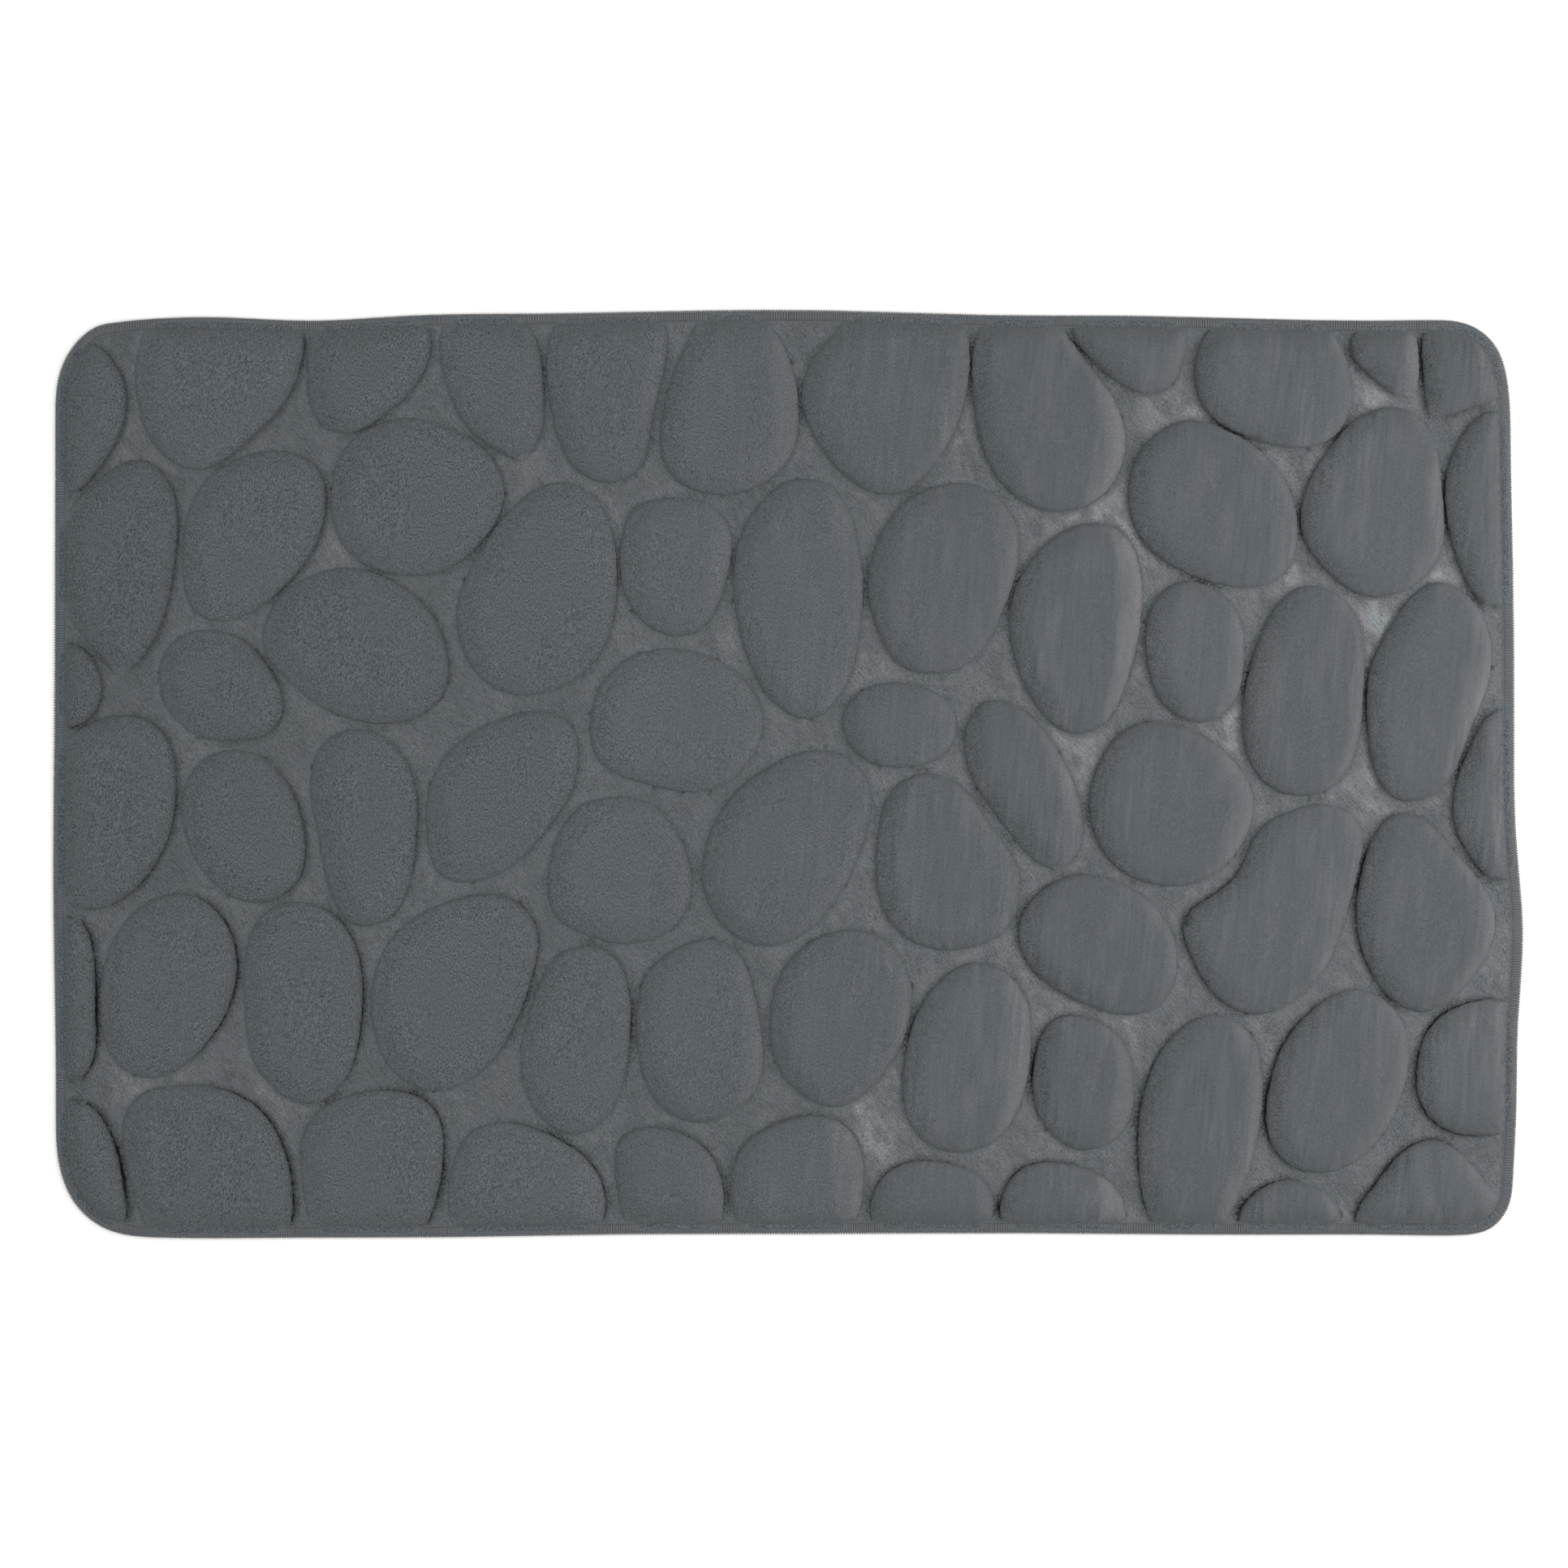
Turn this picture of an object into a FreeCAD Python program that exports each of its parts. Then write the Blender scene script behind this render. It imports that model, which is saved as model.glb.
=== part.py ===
"""Pebble bath mat: embossed memory foam in a fleece cover, backed, coated and overlocked.

The mat lies flat on the floor. X runs along its length and Y across its width, +Z is up, and the
origin is on the floor under the middle of the mat. All sizes are in millimetres.

From the floor up, the middle of the mat is a grip coating, a backing cloth, the foam core and the
pile cover. The foam core is a thin web with a raised boss under each pebble, and the cover follows
it at an even thickness. Around the rim the coating stops short, and three sewing threads hold the
other layers together: two loopers that wrap the raw edge and the needle thread beside them.
"""

import FreeCAD, Part
import math
import os

from FreeCAD import Placement, Rotation, Vector

# --------------------------------------------------------------------------------------------
# Driving dimensions: alias, value and meaning, as they are written in the spreadsheet
# --------------------------------------------------------------------------------------------
DIMENSIONS = [
    ("grip_thickness", 0.8, "grip coating, floor to backing cloth"),
    ("backing_thickness", 0.6, "backing cloth"),
    ("web_thickness", 2.6, "foam left under the grooves"),
    ("cover_thickness", 2.0, "pile cover with its knitted ground, everywhere"),
    ("pebble_rise", 10.0, "crown of a pebble above the grooves"),
    ("pebble_roundness", 3.5, "radius where a pebble's wall turns into its crown"),
    ("hem_width", 6.5, "edge of the mat to the inner side of the overlock"),
    ("hem_wrap", 1.2, "looper threads outside the raw edge of the layers"),
    ("hem_cap", 1.0, "upper looper thread above the cover"),
    ("hem_roundness", 2.2, "outer corners of the overlock"),
    ("needle_width", 0.7, "needle thread, across"),
    ("needle_height", 0.4, "needle thread, above the cover"),
    ("grip_margin", 14.0, "bare backing between the overlock and the grip coating"),
    ("label_width", 30.0, "care label, along the hem"),
    ("label_length", 11.0, "care label, out of the hem to its fold"),
    ("label_cloth", 0.2, "care label, one layer of satin"),
    ("label_gap", 0.2, "care label, between its two layers"),
    ("label_offset", 250.0, "care label, from the middle of the mat towards +X"),
]

# --------------------------------------------------------------------------------------------
# Outlines: each is a smooth closed curve through a few points (x, y), listed clockwise
# --------------------------------------------------------------------------------------------
# The rim of the mat. Its long sides wave a little, and its four corners have different radii.
MAT_RIM = [
    (-378, 250), (-350, 252.8), (-312, 253.4), (-266, 251.6), (-212, 254.3), (-140, 255.6),
    (-60, 257), (15, 257.4), (65, 256.1), (115, 254.7), (190, 254.3), (262, 252.6),
    (325, 251.6), (355, 251.9), (378, 249.3), (392, 238.5), (399, 219), (401, 183),
    (402.4, 110), (403, 20), (404, -34), (407.8, -88), (405, -140), (404, -190),
    (402.4, -222), (399.3, -241), (390, -252), (373, -255.8), (345, -255.8), (250, -255.6),
    (130, -254.8),
    (0, -255.2), (-85, -255.4), (-190, -257), (-290, -257.4), (-350, -257.2), (-378, -252.6),
    (-394, -240.5), (-403.5, -221), (-406.3, -185), (-406.8, -130), (-407.8, -50), (-407.2, 20),
    (-406.8, 120), (-406.6, 195), (-404.3, 222), (-395, 239.5),
]

# The rims of the pebbles, row by row from the top of the mat and from left to right. Pebbles at
# the edge run on past the hem, which cuts them off.
PEBBLE_RIMS = [
    # row 1, cut by the upper hem
    [(-428, 225), (-399, 249), (-384, 239), (-370, 223), (-366, 206), (-371, 186), (-384, 166),
     (-402, 152), (-425, 172)],
    [(-310, 272), (-268, 250), (-269, 230), (-277, 208), (-300, 184), (-328, 168), (-350, 181),
     (-360, 207), (-361, 226), (-356, 246)],
    [(-232, 268), (-199, 250), (-198, 232), (-208, 213), (-226, 197), (-247, 188), (-261, 196),
     (-266, 214), (-266, 232), (-264, 246)],
    [(-168, 268), (-145, 250), (-137, 232), (-135.5, 210), (-137, 187), (-146, 175), (-163, 180),
     (-181, 197), (-191, 222), (-192, 246)],
    [(-98, 270), (-67, 247), (-69, 222), (-76, 192), (-82, 169), (-101, 161), (-122, 174),
     (-130, 198), (-133.5, 223), (-131, 247)],
    [(-30, 268), (-10, 249), (0.5, 230), (6, 197), (2, 177), (-15, 160), (-44, 155), (-67, 168),
     (-70, 195), (-62, 226), (-51, 248)],
    [(60, 272), (98, 250), (100.5, 228), (96.5, 201), (80, 170), (60, 154.5), (38, 160), (17, 183),
     (7.5, 205), (12, 227), (27, 245)],
    [(128, 268), (150, 248), (165, 228), (183, 202), (187, 180), (174, 154), (149, 145),
     (124, 155), (107.5, 181), (102.5, 212), (106, 248)],
    [(187, 266), (222, 248), (219, 229), (210, 213), (198, 210), (183, 216.5), (168, 230),
     (154, 248)],
    [(268, 268), (301, 245), (310.5, 225), (311.5, 204), (303, 187), (282, 180.5), (254, 187),
     (232, 200), (225, 222), (234, 248)],
    [(331, 262), (346, 251), (349, 230), (347.5, 213), (341, 208.5), (329, 214.5), (316, 226),
     (310, 237), (316, 248)],
    [(372, 262), (391, 242), (394, 222), (390, 206), (376, 203), (364, 197), (356, 198),
     (352.5, 212), (351, 230), (352, 246)],
    # row 2
    [(-408, 118), (-397, 147), (-380, 164), (-357, 174), (-343, 162), (-338.5, 128), (-345, 89),
     (-357, 65), (-369, 55.5), (-382, 66), (-399, 89)],
    [(-322, 163), (-300, 176), (-277, 178.5), (-260, 169), (-256, 147), (-264, 122), (-282, 101),
     (-308, 85), (-327, 88), (-335, 112), (-333, 141)],
    [(-248, 177), (-232, 191.5), (-209, 197), (-181, 188.5), (-161, 171), (-157, 153), (-170, 128),
     (-189, 113), (-214, 110), (-239, 119), (-251.5, 137), (-252.5, 158)],
    [(-137, 159), (-120, 161), (-104, 150), (-95.5, 124), (-95.5, 94), (-105, 65), (-122, 50),
     (-146, 43.5), (-167, 50), (-180.5, 70), (-183.5, 92), (-171, 122), (-152, 148)],
    [(-84, 149), (-60, 153), (-40, 147), (-31.5, 134), (-34, 109), (-42, 87), (-58, 76), (-76, 81),
     (-90, 98), (-93, 120), (-91, 137)],
    [(9, 164), (24, 159), (36, 139), (41.5, 105), (38, 69), (29, 43), (11, 30), (-6, 38),
     (-21.5, 62), (-30, 100), (-27, 130), (-11, 155)],
    [(94, 161), (113, 156), (126, 139), (128, 122), (117, 86), (104, 64), (82, 55.5), (62, 60),
     (49.5, 80), (44, 105), (50, 130), (67, 153)],
    [(170, 139), (186, 133), (195.5, 108), (194.5, 80), (186, 47), (173, 26), (158, 22), (142, 32),
     (128.5, 55), (122.5, 80), (128, 108), (147, 131)],
    [(226, 196), (247, 188), (265, 175.5), (278, 157), (282, 132), (278, 115), (262, 104),
     (240, 105), (214, 114.5), (195, 131), (188.5, 154), (195, 179), (210, 192)],
    [(334, 203), (349, 198), (359, 180), (362, 155), (363, 130), (354, 110), (338, 100.5),
     (317, 99), (300, 111), (286, 129), (284.5, 151), (297, 176), (315, 197)],
    [(413, 148), (408, 98), (389, 92), (373, 112), (365.5, 138), (364, 163), (373, 187),
     (387, 201), (409, 198)],
    # row 3
    [(-420, 48), (-402, 76), (-388, 67), (-379.5, 48), (-385, 32), (-402, 24)],
    [(-320, 80), (-303, 75), (-288, 59.5), (-279.5, 41), (-284, 25), (-303, 18.5), (-324, 20),
     (-343, 35), (-348.5, 56), (-340, 74)],
    [(-291, 73), (-286, 92), (-268, 108), (-241, 114), (-219, 107), (-199, 91), (-188.5, 66),
     (-190.5, 45), (-207, 31), (-233, 28.5), (-258, 37), (-279, 54)],
    [(-64, 69.5), (-41, 64), (-20.5, 48), (-13.5, 27), (-21, 8), (-37, -7), (-60, -9.5), (-86, -3),
     (-106, 8), (-109.5, 27), (-105, 47), (-89, 64)],
    [(60, 50.5), (79, 46.5), (91, 37), (94, 25), (86, 10), (66, 4), (48, 5), (35, 15), (29.5, 31),
     (40, 46)],
    [(222, 107), (240, 99.5), (250.5, 86), (252.5, 66), (249, 43), (237, 30.5), (221, 29.5),
     (206, 41), (199, 62), (199.5, 87), (208, 102)],
    [(289, 104.5), (306, 98), (317, 81), (318.5, 50), (315.5, 17), (302, -7), (280, -12),
     (263, -4), (252.5, 17), (252.5, 42), (259, 70), (271, 94)],
    [(362, 106.5), (378, 97), (389, 72), (386.5, 47), (376, 21), (367, -2), (352, -14),
     (335, -13.5), (324.5, 3), (320.5, 30), (322, 57), (335, 84), (348, 101)],
    # row 4
    [(-414, -22), (-400, 19), (-382, 29.5), (-359, 31.5), (-345, 22), (-339, -2), (-341, -28),
     (-351, -51), (-371, -70.5), (-388, -75.5), (-403, -66)],
    [(-305, 13.5), (-289, 8), (-274, -11), (-267.5, -35), (-270.5, -58), (-283, -69), (-300, -71),
     (-320, -58), (-332, -39), (-336, -18), (-329, 3), (-318, 11.5)],
    [(-240, 25), (-221, 19), (-208, 0), (-205.5, -30), (-210.5, -63), (-222, -81), (-238, -84.5),
     (-252, -70), (-258.5, -40), (-264.5, -8), (-259, 15)],
    [(-133, 34.5), (-120, 28), (-116, 8), (-120.5, -11), (-134, -31), (-151, -50), (-172, -59.5),
     (-192, -57), (-199.5, -36), (-199, -9), (-187, 13), (-165, 28)],
    [(-94, -12.5), (-75, -17), (-60, -35), (-53, -58), (-58, -79), (-73, -91), (-92, -94),
     (-113, -88.5), (-129, -79), (-133, -58), (-127.5, -34), (-114, -17)],
    [(16, 13.5), (32, 9.5), (45, -5), (45, -26), (37, -50), (23, -75), (5, -91), (-17, -95),
     (-37, -83), (-47.5, -60), (-43, -32), (-29, -9.5), (-8, 5.5)],
    [(75, 0.5), (94, -5), (111, -27), (126, -49), (128.5, -68), (119, -88), (98, -96.5),
     (75, -95.5), (58, -84), (49.5, -64), (49.5, -38), (56, -11)],
    [(117, 41.5), (131, 35), (146, 18), (157, -2), (163.5, -28), (160, -45), (148, -53),
     (134, -45.5), (115, -22), (101, 0), (97.5, 20), (104, 36.5)],
    [(203, 29), (223, 24.5), (242, 12), (255, -4), (257.5, -22), (249, -42), (232, -58),
     (207, -61.5), (185, -54), (170.5, -35), (167, -10), (177, 14), (188, 26)],
    [(284, -18.5), (304, -18), (317, -28), (316, -50), (307, -85), (297, -108), (278, -127),
     (256, -133), (237, -123), (222, -98), (218.5, -81), (236, -67), (252, -50), (263, -28)],
    [(340, -21), (354, -26.5), (368, -42), (384, -61), (391.5, -79), (387, -99), (373, -119),
     (350, -132), (333.5, -124), (320, -104), (314.5, -80), (318, -53), (326, -31)],
    [(413, -10), (408, -50), (392, -60), (378, -46), (368.5, -27), (370, -4), (381, 22), (392, 37),
     (408, 33)],
    # row 5
    [(-418, -120), (-404, -77), (-391.5, -81), (-385, -96), (-383.5, -135), (-386, -162),
     (-395, -171), (-414, -168)],
    [(-338, -66), (-321, -71.5), (-308.5, -88), (-305, -110), (-311.5, -133), (-329.5, -157),
     (-350, -168), (-369, -163), (-379, -144), (-379.5, -112), (-371, -87), (-355, -71.5)],
    [(-271, -70.5), (-252, -77.5), (-240, -94), (-235.5, -122), (-238.5, -151), (-250, -176),
     (-267, -183), (-283.5, -175), (-296.5, -157), (-300.5, -130), (-300, -97), (-290, -77)],
    [(-171, -66.5), (-151, -70.5), (-139.5, -83), (-139.5, -103), (-146.5, -127), (-163, -158),
     (-185, -174), (-207, -173.5), (-225, -155), (-231, -128), (-224, -98), (-203, -77)],
    [(-113, -95), (-98, -99), (-89, -115), (-87.5, -145), (-91, -171), (-102.5, -192),
     (-117, -200), (-134, -193), (-146, -174), (-147.5, -149), (-139, -120), (-129, -101)],
    [(-42, -91), (-28, -98), (-19, -120), (-14, -150), (-16, -172), (-30, -187), (-52, -193),
     (-72, -182.5), (-82.5, -158), (-83.5, -130), (-77, -108), (-61, -96)],
    [(33, -86), (51, -90), (64.5, -105), (68.5, -122), (63, -149), (48.5, -171), (25, -184.5),
     (8, -178), (-5, -164), (-10, -140), (-6, -115), (9, -95)],
    [(105, -104), (121, -110), (132.5, -127), (134.5, -148), (130, -179), (116, -202),
     (96, -209.5), (75, -203), (64.5, -185), (64.5, -160), (73, -129), (88, -111)],
    [(166, -55.5), (185, -61), (203, -73), (213.5, -90), (214.5, -112), (206.5, -128),
     (188, -133.5), (166, -128), (144, -116), (130, -100), (127.5, -84), (140, -64.5)],
    [(156, -133), (173, -137.5), (187, -150), (191, -168), (190, -189), (177, -205), (160, -208),
     (143, -196), (135.5, -177), (138, -152), (145, -137)],
    [(220, -266), (203, -252), (194.5, -222), (194, -195), (201.5, -163), (217, -141), (237, -133),
     (252, -139), (261.5, -158), (262, -185), (255, -220), (241, -250)],
    [(312, -119), (330, -124.5), (342, -142), (343, -165), (334, -191), (319, -211), (298, -220.5),
     (278, -217), (266.5, -203), (266, -176), (275.5, -147), (291, -130)],
    [(414, -162), (408, -196), (386, -200), (363, -196.5), (349.5, -181), (348.5, -160),
     (355, -140), (372, -128), (394, -125), (409, -130)],
    # row 6, cut by the lower hem
    [(-416, -200), (-402, -181), (-391, -180.5), (-380, -190), (-371, -212), (-366.5, -238),
     (-368, -259), (-392, -264), (-414, -240)],
    [(-315, -274), (-349, -262), (-362, -232), (-368, -208), (-368, -192), (-360, -178.5),
     (-340, -172.5), (-313, -174.5), (-291, -187), (-279, -208), (-274, -238), (-279, -262)],
    [(-233, -272), (-262, -256), (-268, -230), (-269, -201), (-259, -186), (-240, -177),
     (-215, -175.5), (-197, -183.5), (-191, -200), (-193, -228), (-202, -254)],
    [(-145, -272), (-183, -262), (-188.5, -238), (-184, -211), (-176, -198), (-165, -193),
     (-148, -194), (-122, -205), (-105, -221), (-101, -238), (-106, -260)],
    [(-60, -270), (-87, -257), (-94, -232), (-96, -213), (-93, -201), (-79, -195.5), (-60, -198.5),
     (-44, -209), (-36.5, -226), (-37, -250)],
    [(20, -268), (-15, -268), (-28, -250), (-32, -227), (-27, -208), (-10, -195), (12, -189),
     (30, -193), (39.5, -206), (42, -225), (37, -250)],
    [(75, -272), (49, -260), (45, -242), (50.5, -225), (62, -216), (76, -214), (97, -218),
     (110.5, -227), (114, -245), (108, -262)],
    [(172, -268), (132, -268), (117.5, -252), (119.5, -231), (129, -218), (147, -215), (167, -219),
     (182.5, -230), (187, -250)],
    [(275, -272), (247, -262), (249, -244), (259, -231), (275, -224.5), (295, -230.5),
     (306.5, -243), (307, -262)],
    [(350, -272), (316, -264), (312, -250), (323, -230), (342, -207.5), (359, -202), (372, -209.5),
     (386, -226), (396, -240), (390, -262)],
]


# --------------------------------------------------------------------------------------------
# Document, spreadsheet and helpers
# --------------------------------------------------------------------------------------------
LEVEL_TOLERANCE = 0.001  # two heights closer than this are the same level

doc = FreeCAD.newDocument("bath_mat")
sheet = doc.addObject("Spreadsheet::Sheet", "Sizes")


def fill_sheet():
    """Write the driving dimensions into the spreadsheet."""
    for row, (alias, value, meaning) in enumerate(DIMENSIONS, start=1):
        sheet.set(f"A{row}", alias)
        sheet.set(f"B{row}", str(value))
        sheet.set(f"C{row}", meaning)
        sheet.setAlias(f"B{row}", alias)
    doc.recompute()


def size(alias):
    """A driving dimension, as the spreadsheet holds it."""
    return float(sheet.get(alias))


def closed_curve(points):
    """The smooth closed curve through the points of an outline."""
    curve = Part.BSplineCurve()
    curve.interpolate(Points=[Vector(x, y, 0) for x, y in points], PeriodicFlag=True)
    return curve


def inset(points, distance):
    """The points of an outline, each moved inwards, square to the curve, by a distance."""
    curve = closed_curve(points)
    moved = []
    for x, y in points:
        tangent = curve.tangent(curve.parameter(Vector(x, y, 0)))[0]
        moved.append((x + tangent.y * distance, y - tangent.x * distance))
    return moved


def region(points, level=0):
    """The flat, level region inside an outline."""
    wire = Part.Wire(closed_curve(points).toShape())
    return Part.Face(wire).translated(Vector(0, 0, level))


def upright_side(points, bottom, top):
    """The upright faces around an outline."""
    edge = closed_curve(points).toShape().translated(Vector(0, 0, bottom))
    return edge.extrude(Vector(0, 0, top - bottom)).Faces


def embossed_faces(points, level, bosses):
    """The faces of a level sheet that rises over the bosses standing on it."""
    outer_wire = region(points, level).OuterWire
    feet = [min(boss.Faces, key=lambda face: face.BoundBox.ZMax) for boss in bosses]
    wires = [outer_wire] + [foot.OuterWire for foot in feet]
    faces = Part.makeFace(wires, "Part::FaceMakerBullseye").Faces
    for boss, foot in zip(bosses, feet):
        faces += [face for face in boss.Faces if not face.isSame(foot)]
    return faces


def sewn_solid(faces):
    """The solid inside a closed set of faces."""
    skin = Part.Compound(faces)
    skin.sewShape()
    solid = Part.Solid(skin.Shells[0])
    if solid.Volume < 0:
        solid.reverse()
    return solid


def add_body(label):
    """An empty body for one sub-part."""
    body = doc.addObject("PartDesign::Body", label)
    body.Label = label
    return body


def add_sketch(body, name, plane_role, outlines):
    """A sketch on one of the body's origin planes, holding closed curves."""
    sketch = body.newObject("Sketcher::SketchObject", name)
    plane = next(item for item in body.Origin.OriginFeatures if item.Role == plane_role)
    sketch.AttachmentSupport = [(plane, "")]
    sketch.MapMode = "FlatFace"
    for outline in outlines:
        sketch.addGeometry(closed_curve(outline), False)
    return sketch


def add_pad(body, sketch, name, length, height):
    """A pad of a sketch; length and height are expressions in the spreadsheet's aliases."""
    sketch.setExpression("AttachmentOffset.Base.z", height)
    pad = body.newObject("PartDesign::Pad", name)
    pad.Profile = sketch
    pad.setExpression("Length", length)
    return pad


def round_edges(body, pad, name, alias, height):
    """Round the outermost edge of a pad at one height."""
    doc.recompute()
    boxes = {number: edge.BoundBox for number, edge in enumerate(pad.Shape.Edges, start=1)}
    level = [number for number, box in boxes.items()
             if max(abs(box.ZMin - height), abs(box.ZMax - height)) < LEVEL_TOLERANCE]
    outermost = max(level, key=lambda number: boxes[number].XLength)
    fillet = body.newObject("PartDesign::Fillet", name)
    fillet.Base = (pad, [f"Edge{outermost}"])
    fillet.setExpression("Radius", f"Sizes.{alias}")


def add_feature(label, shape):
    """A sub-part whose free-form shape comes from Part's own functions."""
    feature = doc.addObject("Part::Feature", label)
    feature.Label = label
    feature.Shape = shape
    feature.Placement = Placement()
    return feature


# --------------------------------------------------------------------------------------------
# Levels and outlines that several sub-parts share
# --------------------------------------------------------------------------------------------
fill_sheet()

web_bottom = size("grip_thickness") + size("backing_thickness")
web_top = web_bottom + size("web_thickness")
groove_top = web_top + size("cover_thickness")
crown_top = groove_top + size("pebble_rise")

LAYER_RIM = inset(MAT_RIM, size("hem_wrap"))
HEM_INNER_RIM = inset(MAT_RIM, size("hem_width"))

BACKING_TOP = "Sizes.grip_thickness + Sizes.backing_thickness"
GROOVE_TOP = f"{BACKING_TOP} + Sizes.web_thickness + Sizes.cover_thickness"
HEM_MIDDLE = f"({GROOVE_TOP}) / 2"


def pebble_bosses(shrink, bottom):
    """The raised forms on the mat, all shrunk evenly from their outer faces.

    Each is an upright prism on a pebble's rim, cut by the hem where it reaches that far, with its
    upper edge rounded.
    """
    height = crown_top - shrink - bottom
    radius = size("pebble_roundness") - shrink
    inside_hem = region(inset(HEM_INNER_RIM, shrink), bottom)
    bosses = []
    for rim in PEBBLE_RIMS:
        foot = region(inset(rim, shrink), bottom).common(inside_hem)
        prism = foot.extrude(Vector(0, 0, height))
        upper_edges = [edge for edge in prism.Edges
                       if edge.BoundBox.ZMin > crown_top - shrink - LEVEL_TOLERANCE]
        bosses.append(prism.makeFillet(radius, upper_edges))
    return bosses


foam_bosses = pebble_bosses(size("cover_thickness"), web_top)


# --------------------------------------------------------------------------------------------
# Sub-parts, from the floor up
# --------------------------------------------------------------------------------------------
def make_grip_coating():
    """The rubbery coating under the middle of the mat: the face that it rests on."""
    body = add_body("grip_coating")
    outline = inset(HEM_INNER_RIM, size("grip_margin"))
    sketch = add_sketch(body, "CoatingOutline", "XY_Plane", [outline])
    add_pad(body, sketch, "Coating", "Sizes.grip_thickness", "0")
    return body


def make_backing_cloth():
    """The cloth under the foam, which reaches the raw edge inside the overlock."""
    body = add_body("backing_cloth")
    sketch = add_sketch(body, "BackingOutline", "XY_Plane", [LAYER_RIM])
    add_pad(body, sketch, "Cloth", "Sizes.backing_thickness", "Sizes.grip_thickness")
    return body


def make_foam_core():
    """The foam: a thin web to the raw edge, and a boss under every pebble."""
    faces = region(LAYER_RIM, web_bottom).Faces
    faces += upright_side(LAYER_RIM, web_bottom, web_top)
    faces += embossed_faces(LAYER_RIM, web_top, foam_bosses)
    return add_feature("foam_core", sewn_solid(faces))


def make_pile_cover():
    """The pile cover: it lies on the foam all over and is the mat's upper surface."""
    faces = embossed_faces(LAYER_RIM, web_top, foam_bosses)
    faces += upright_side(LAYER_RIM, web_top, groove_top)
    faces += embossed_faces(LAYER_RIM, groove_top, pebble_bosses(0, groove_top))
    return add_feature("pile_cover", sewn_solid(faces))


def make_lower_looper():
    """The thread that wraps the hem from below: a flat band under it and half the wall."""
    body = add_body("lower_looper_thread")
    band = add_sketch(body, "BandUnder", "XY_Plane", [MAT_RIM, HEM_INNER_RIM])
    add_pad(body, band, "Under", "Sizes.grip_thickness", "0")
    side = add_sketch(body, "LowerWall", "XY_Plane", [MAT_RIM, LAYER_RIM])
    wall = add_pad(body, side, "Wall", HEM_MIDDLE, "0")
    round_edges(body, wall, "LowerRound", "hem_roundness", 0)
    return body


def make_upper_looper():
    """The thread that wraps the hem from above: a flat band on it and half the wall."""
    body = add_body("upper_looper_thread")
    band = add_sketch(body, "BandOver", "XY_Plane", [MAT_RIM, HEM_INNER_RIM])
    add_pad(body, band, "Over", "Sizes.hem_cap", GROOVE_TOP)
    side = add_sketch(body, "UpperWall", "XY_Plane", [MAT_RIM, LAYER_RIM])
    wall = add_pad(body, side, "Wall", f"{HEM_MIDDLE} + Sizes.hem_cap", HEM_MIDDLE)
    round_edges(body, wall, "UpperRound", "hem_roundness", groove_top + size("hem_cap"))
    return body


def make_needle_thread():
    """The straight thread that lies in the groove along the inner side of the overlock."""
    body = add_body("needle_thread")
    inner = inset(HEM_INNER_RIM, size("needle_width"))
    sketch = add_sketch(body, "NeedleLine", "XY_Plane", [HEM_INNER_RIM, inner])
    add_pad(body, sketch, "Thread", "Sizes.needle_height", GROOVE_TOP)
    return body


def make_care_label():
    """A blank satin label, folded double and sewn in under the lower hem."""
    body = add_body("care_label")
    sketch = body.newObject("Sketcher::SketchObject", "FoldedStrip")
    plane = next(item for item in body.Origin.OriginFeatures if item.Role == "YZ_Plane")
    sketch.AttachmentSupport = [(plane, "")]
    sketch.MapMode = "FlatFace"
    cloth = size("label_cloth")
    outer = cloth + size("label_gap") / 2
    inner = size("label_gap") / 2
    fold = size("label_length") - outer
    for radius in (outer, inner):
        arc = Part.Circle(Vector(fold, 0, 0), Vector(0, 0, 1), radius)
        sketch.addGeometry(Part.ArcOfCircle(arc, -math.pi / 2, math.pi / 2), False)
        sketch.addGeometry(Part.LineSegment(Vector(fold, radius, 0), Vector(0, radius, 0)), False)
        sketch.addGeometry(Part.LineSegment(Vector(fold, -radius, 0), Vector(0, -radius, 0)), False)
    for side in (1, -1):
        ends = Vector(0, side * inner, 0), Vector(0, side * outer, 0)
        sketch.addGeometry(Part.LineSegment(*ends), False)
    pad = body.newObject("PartDesign::Pad", "Strip")
    pad.Profile = sketch
    pad.setExpression("Length", "Sizes.label_width")
    rim = closed_curve(HEM_INNER_RIM)
    start = Vector(size("label_offset"), -size("label_offset") * 2, 0)
    hem_y = rim.value(rim.parameter(start)).y
    body.Placement = Placement(Vector(start.x, hem_y, size("grip_thickness") - outer), Rotation())
    return body


# --------------------------------------------------------------------------------------------
# Build, check and export
# --------------------------------------------------------------------------------------------
def check(parts):
    """Stop if any object failed to recompute, or if a sub-part's shape is null or invalid."""
    doc.recompute()
    for item in doc.Objects:
        failed = {"Invalid", "Error"} & set(item.State)
        if failed:
            raise RuntimeError(f"{item.Name} is {failed}")
    for part in parts:
        if part.Shape.isNull() or not part.Shape.isValid():
            raise RuntimeError(f"{part.Label} has no valid shape")


sub_parts = [
    make_grip_coating(),
    make_backing_cloth(),
    make_foam_core(),
    make_pile_cover(),
    make_lower_looper(),
    make_upper_looper(),
    make_needle_thread(),
    make_care_label(),
]
check(sub_parts)

os.makedirs("parts", exist_ok=True)
for part in sub_parts:
    part.Shape.exportStep(f"parts/{part.Label}.step")
    box = part.Shape.BoundBox
    print(f"{part.Label}: {len(part.Shape.Solids)} solid(s), {part.Shape.Volume / 1000:.1f} cm3, "
          f"z {box.ZMin:.2f} to {box.ZMax:.2f}")
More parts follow.
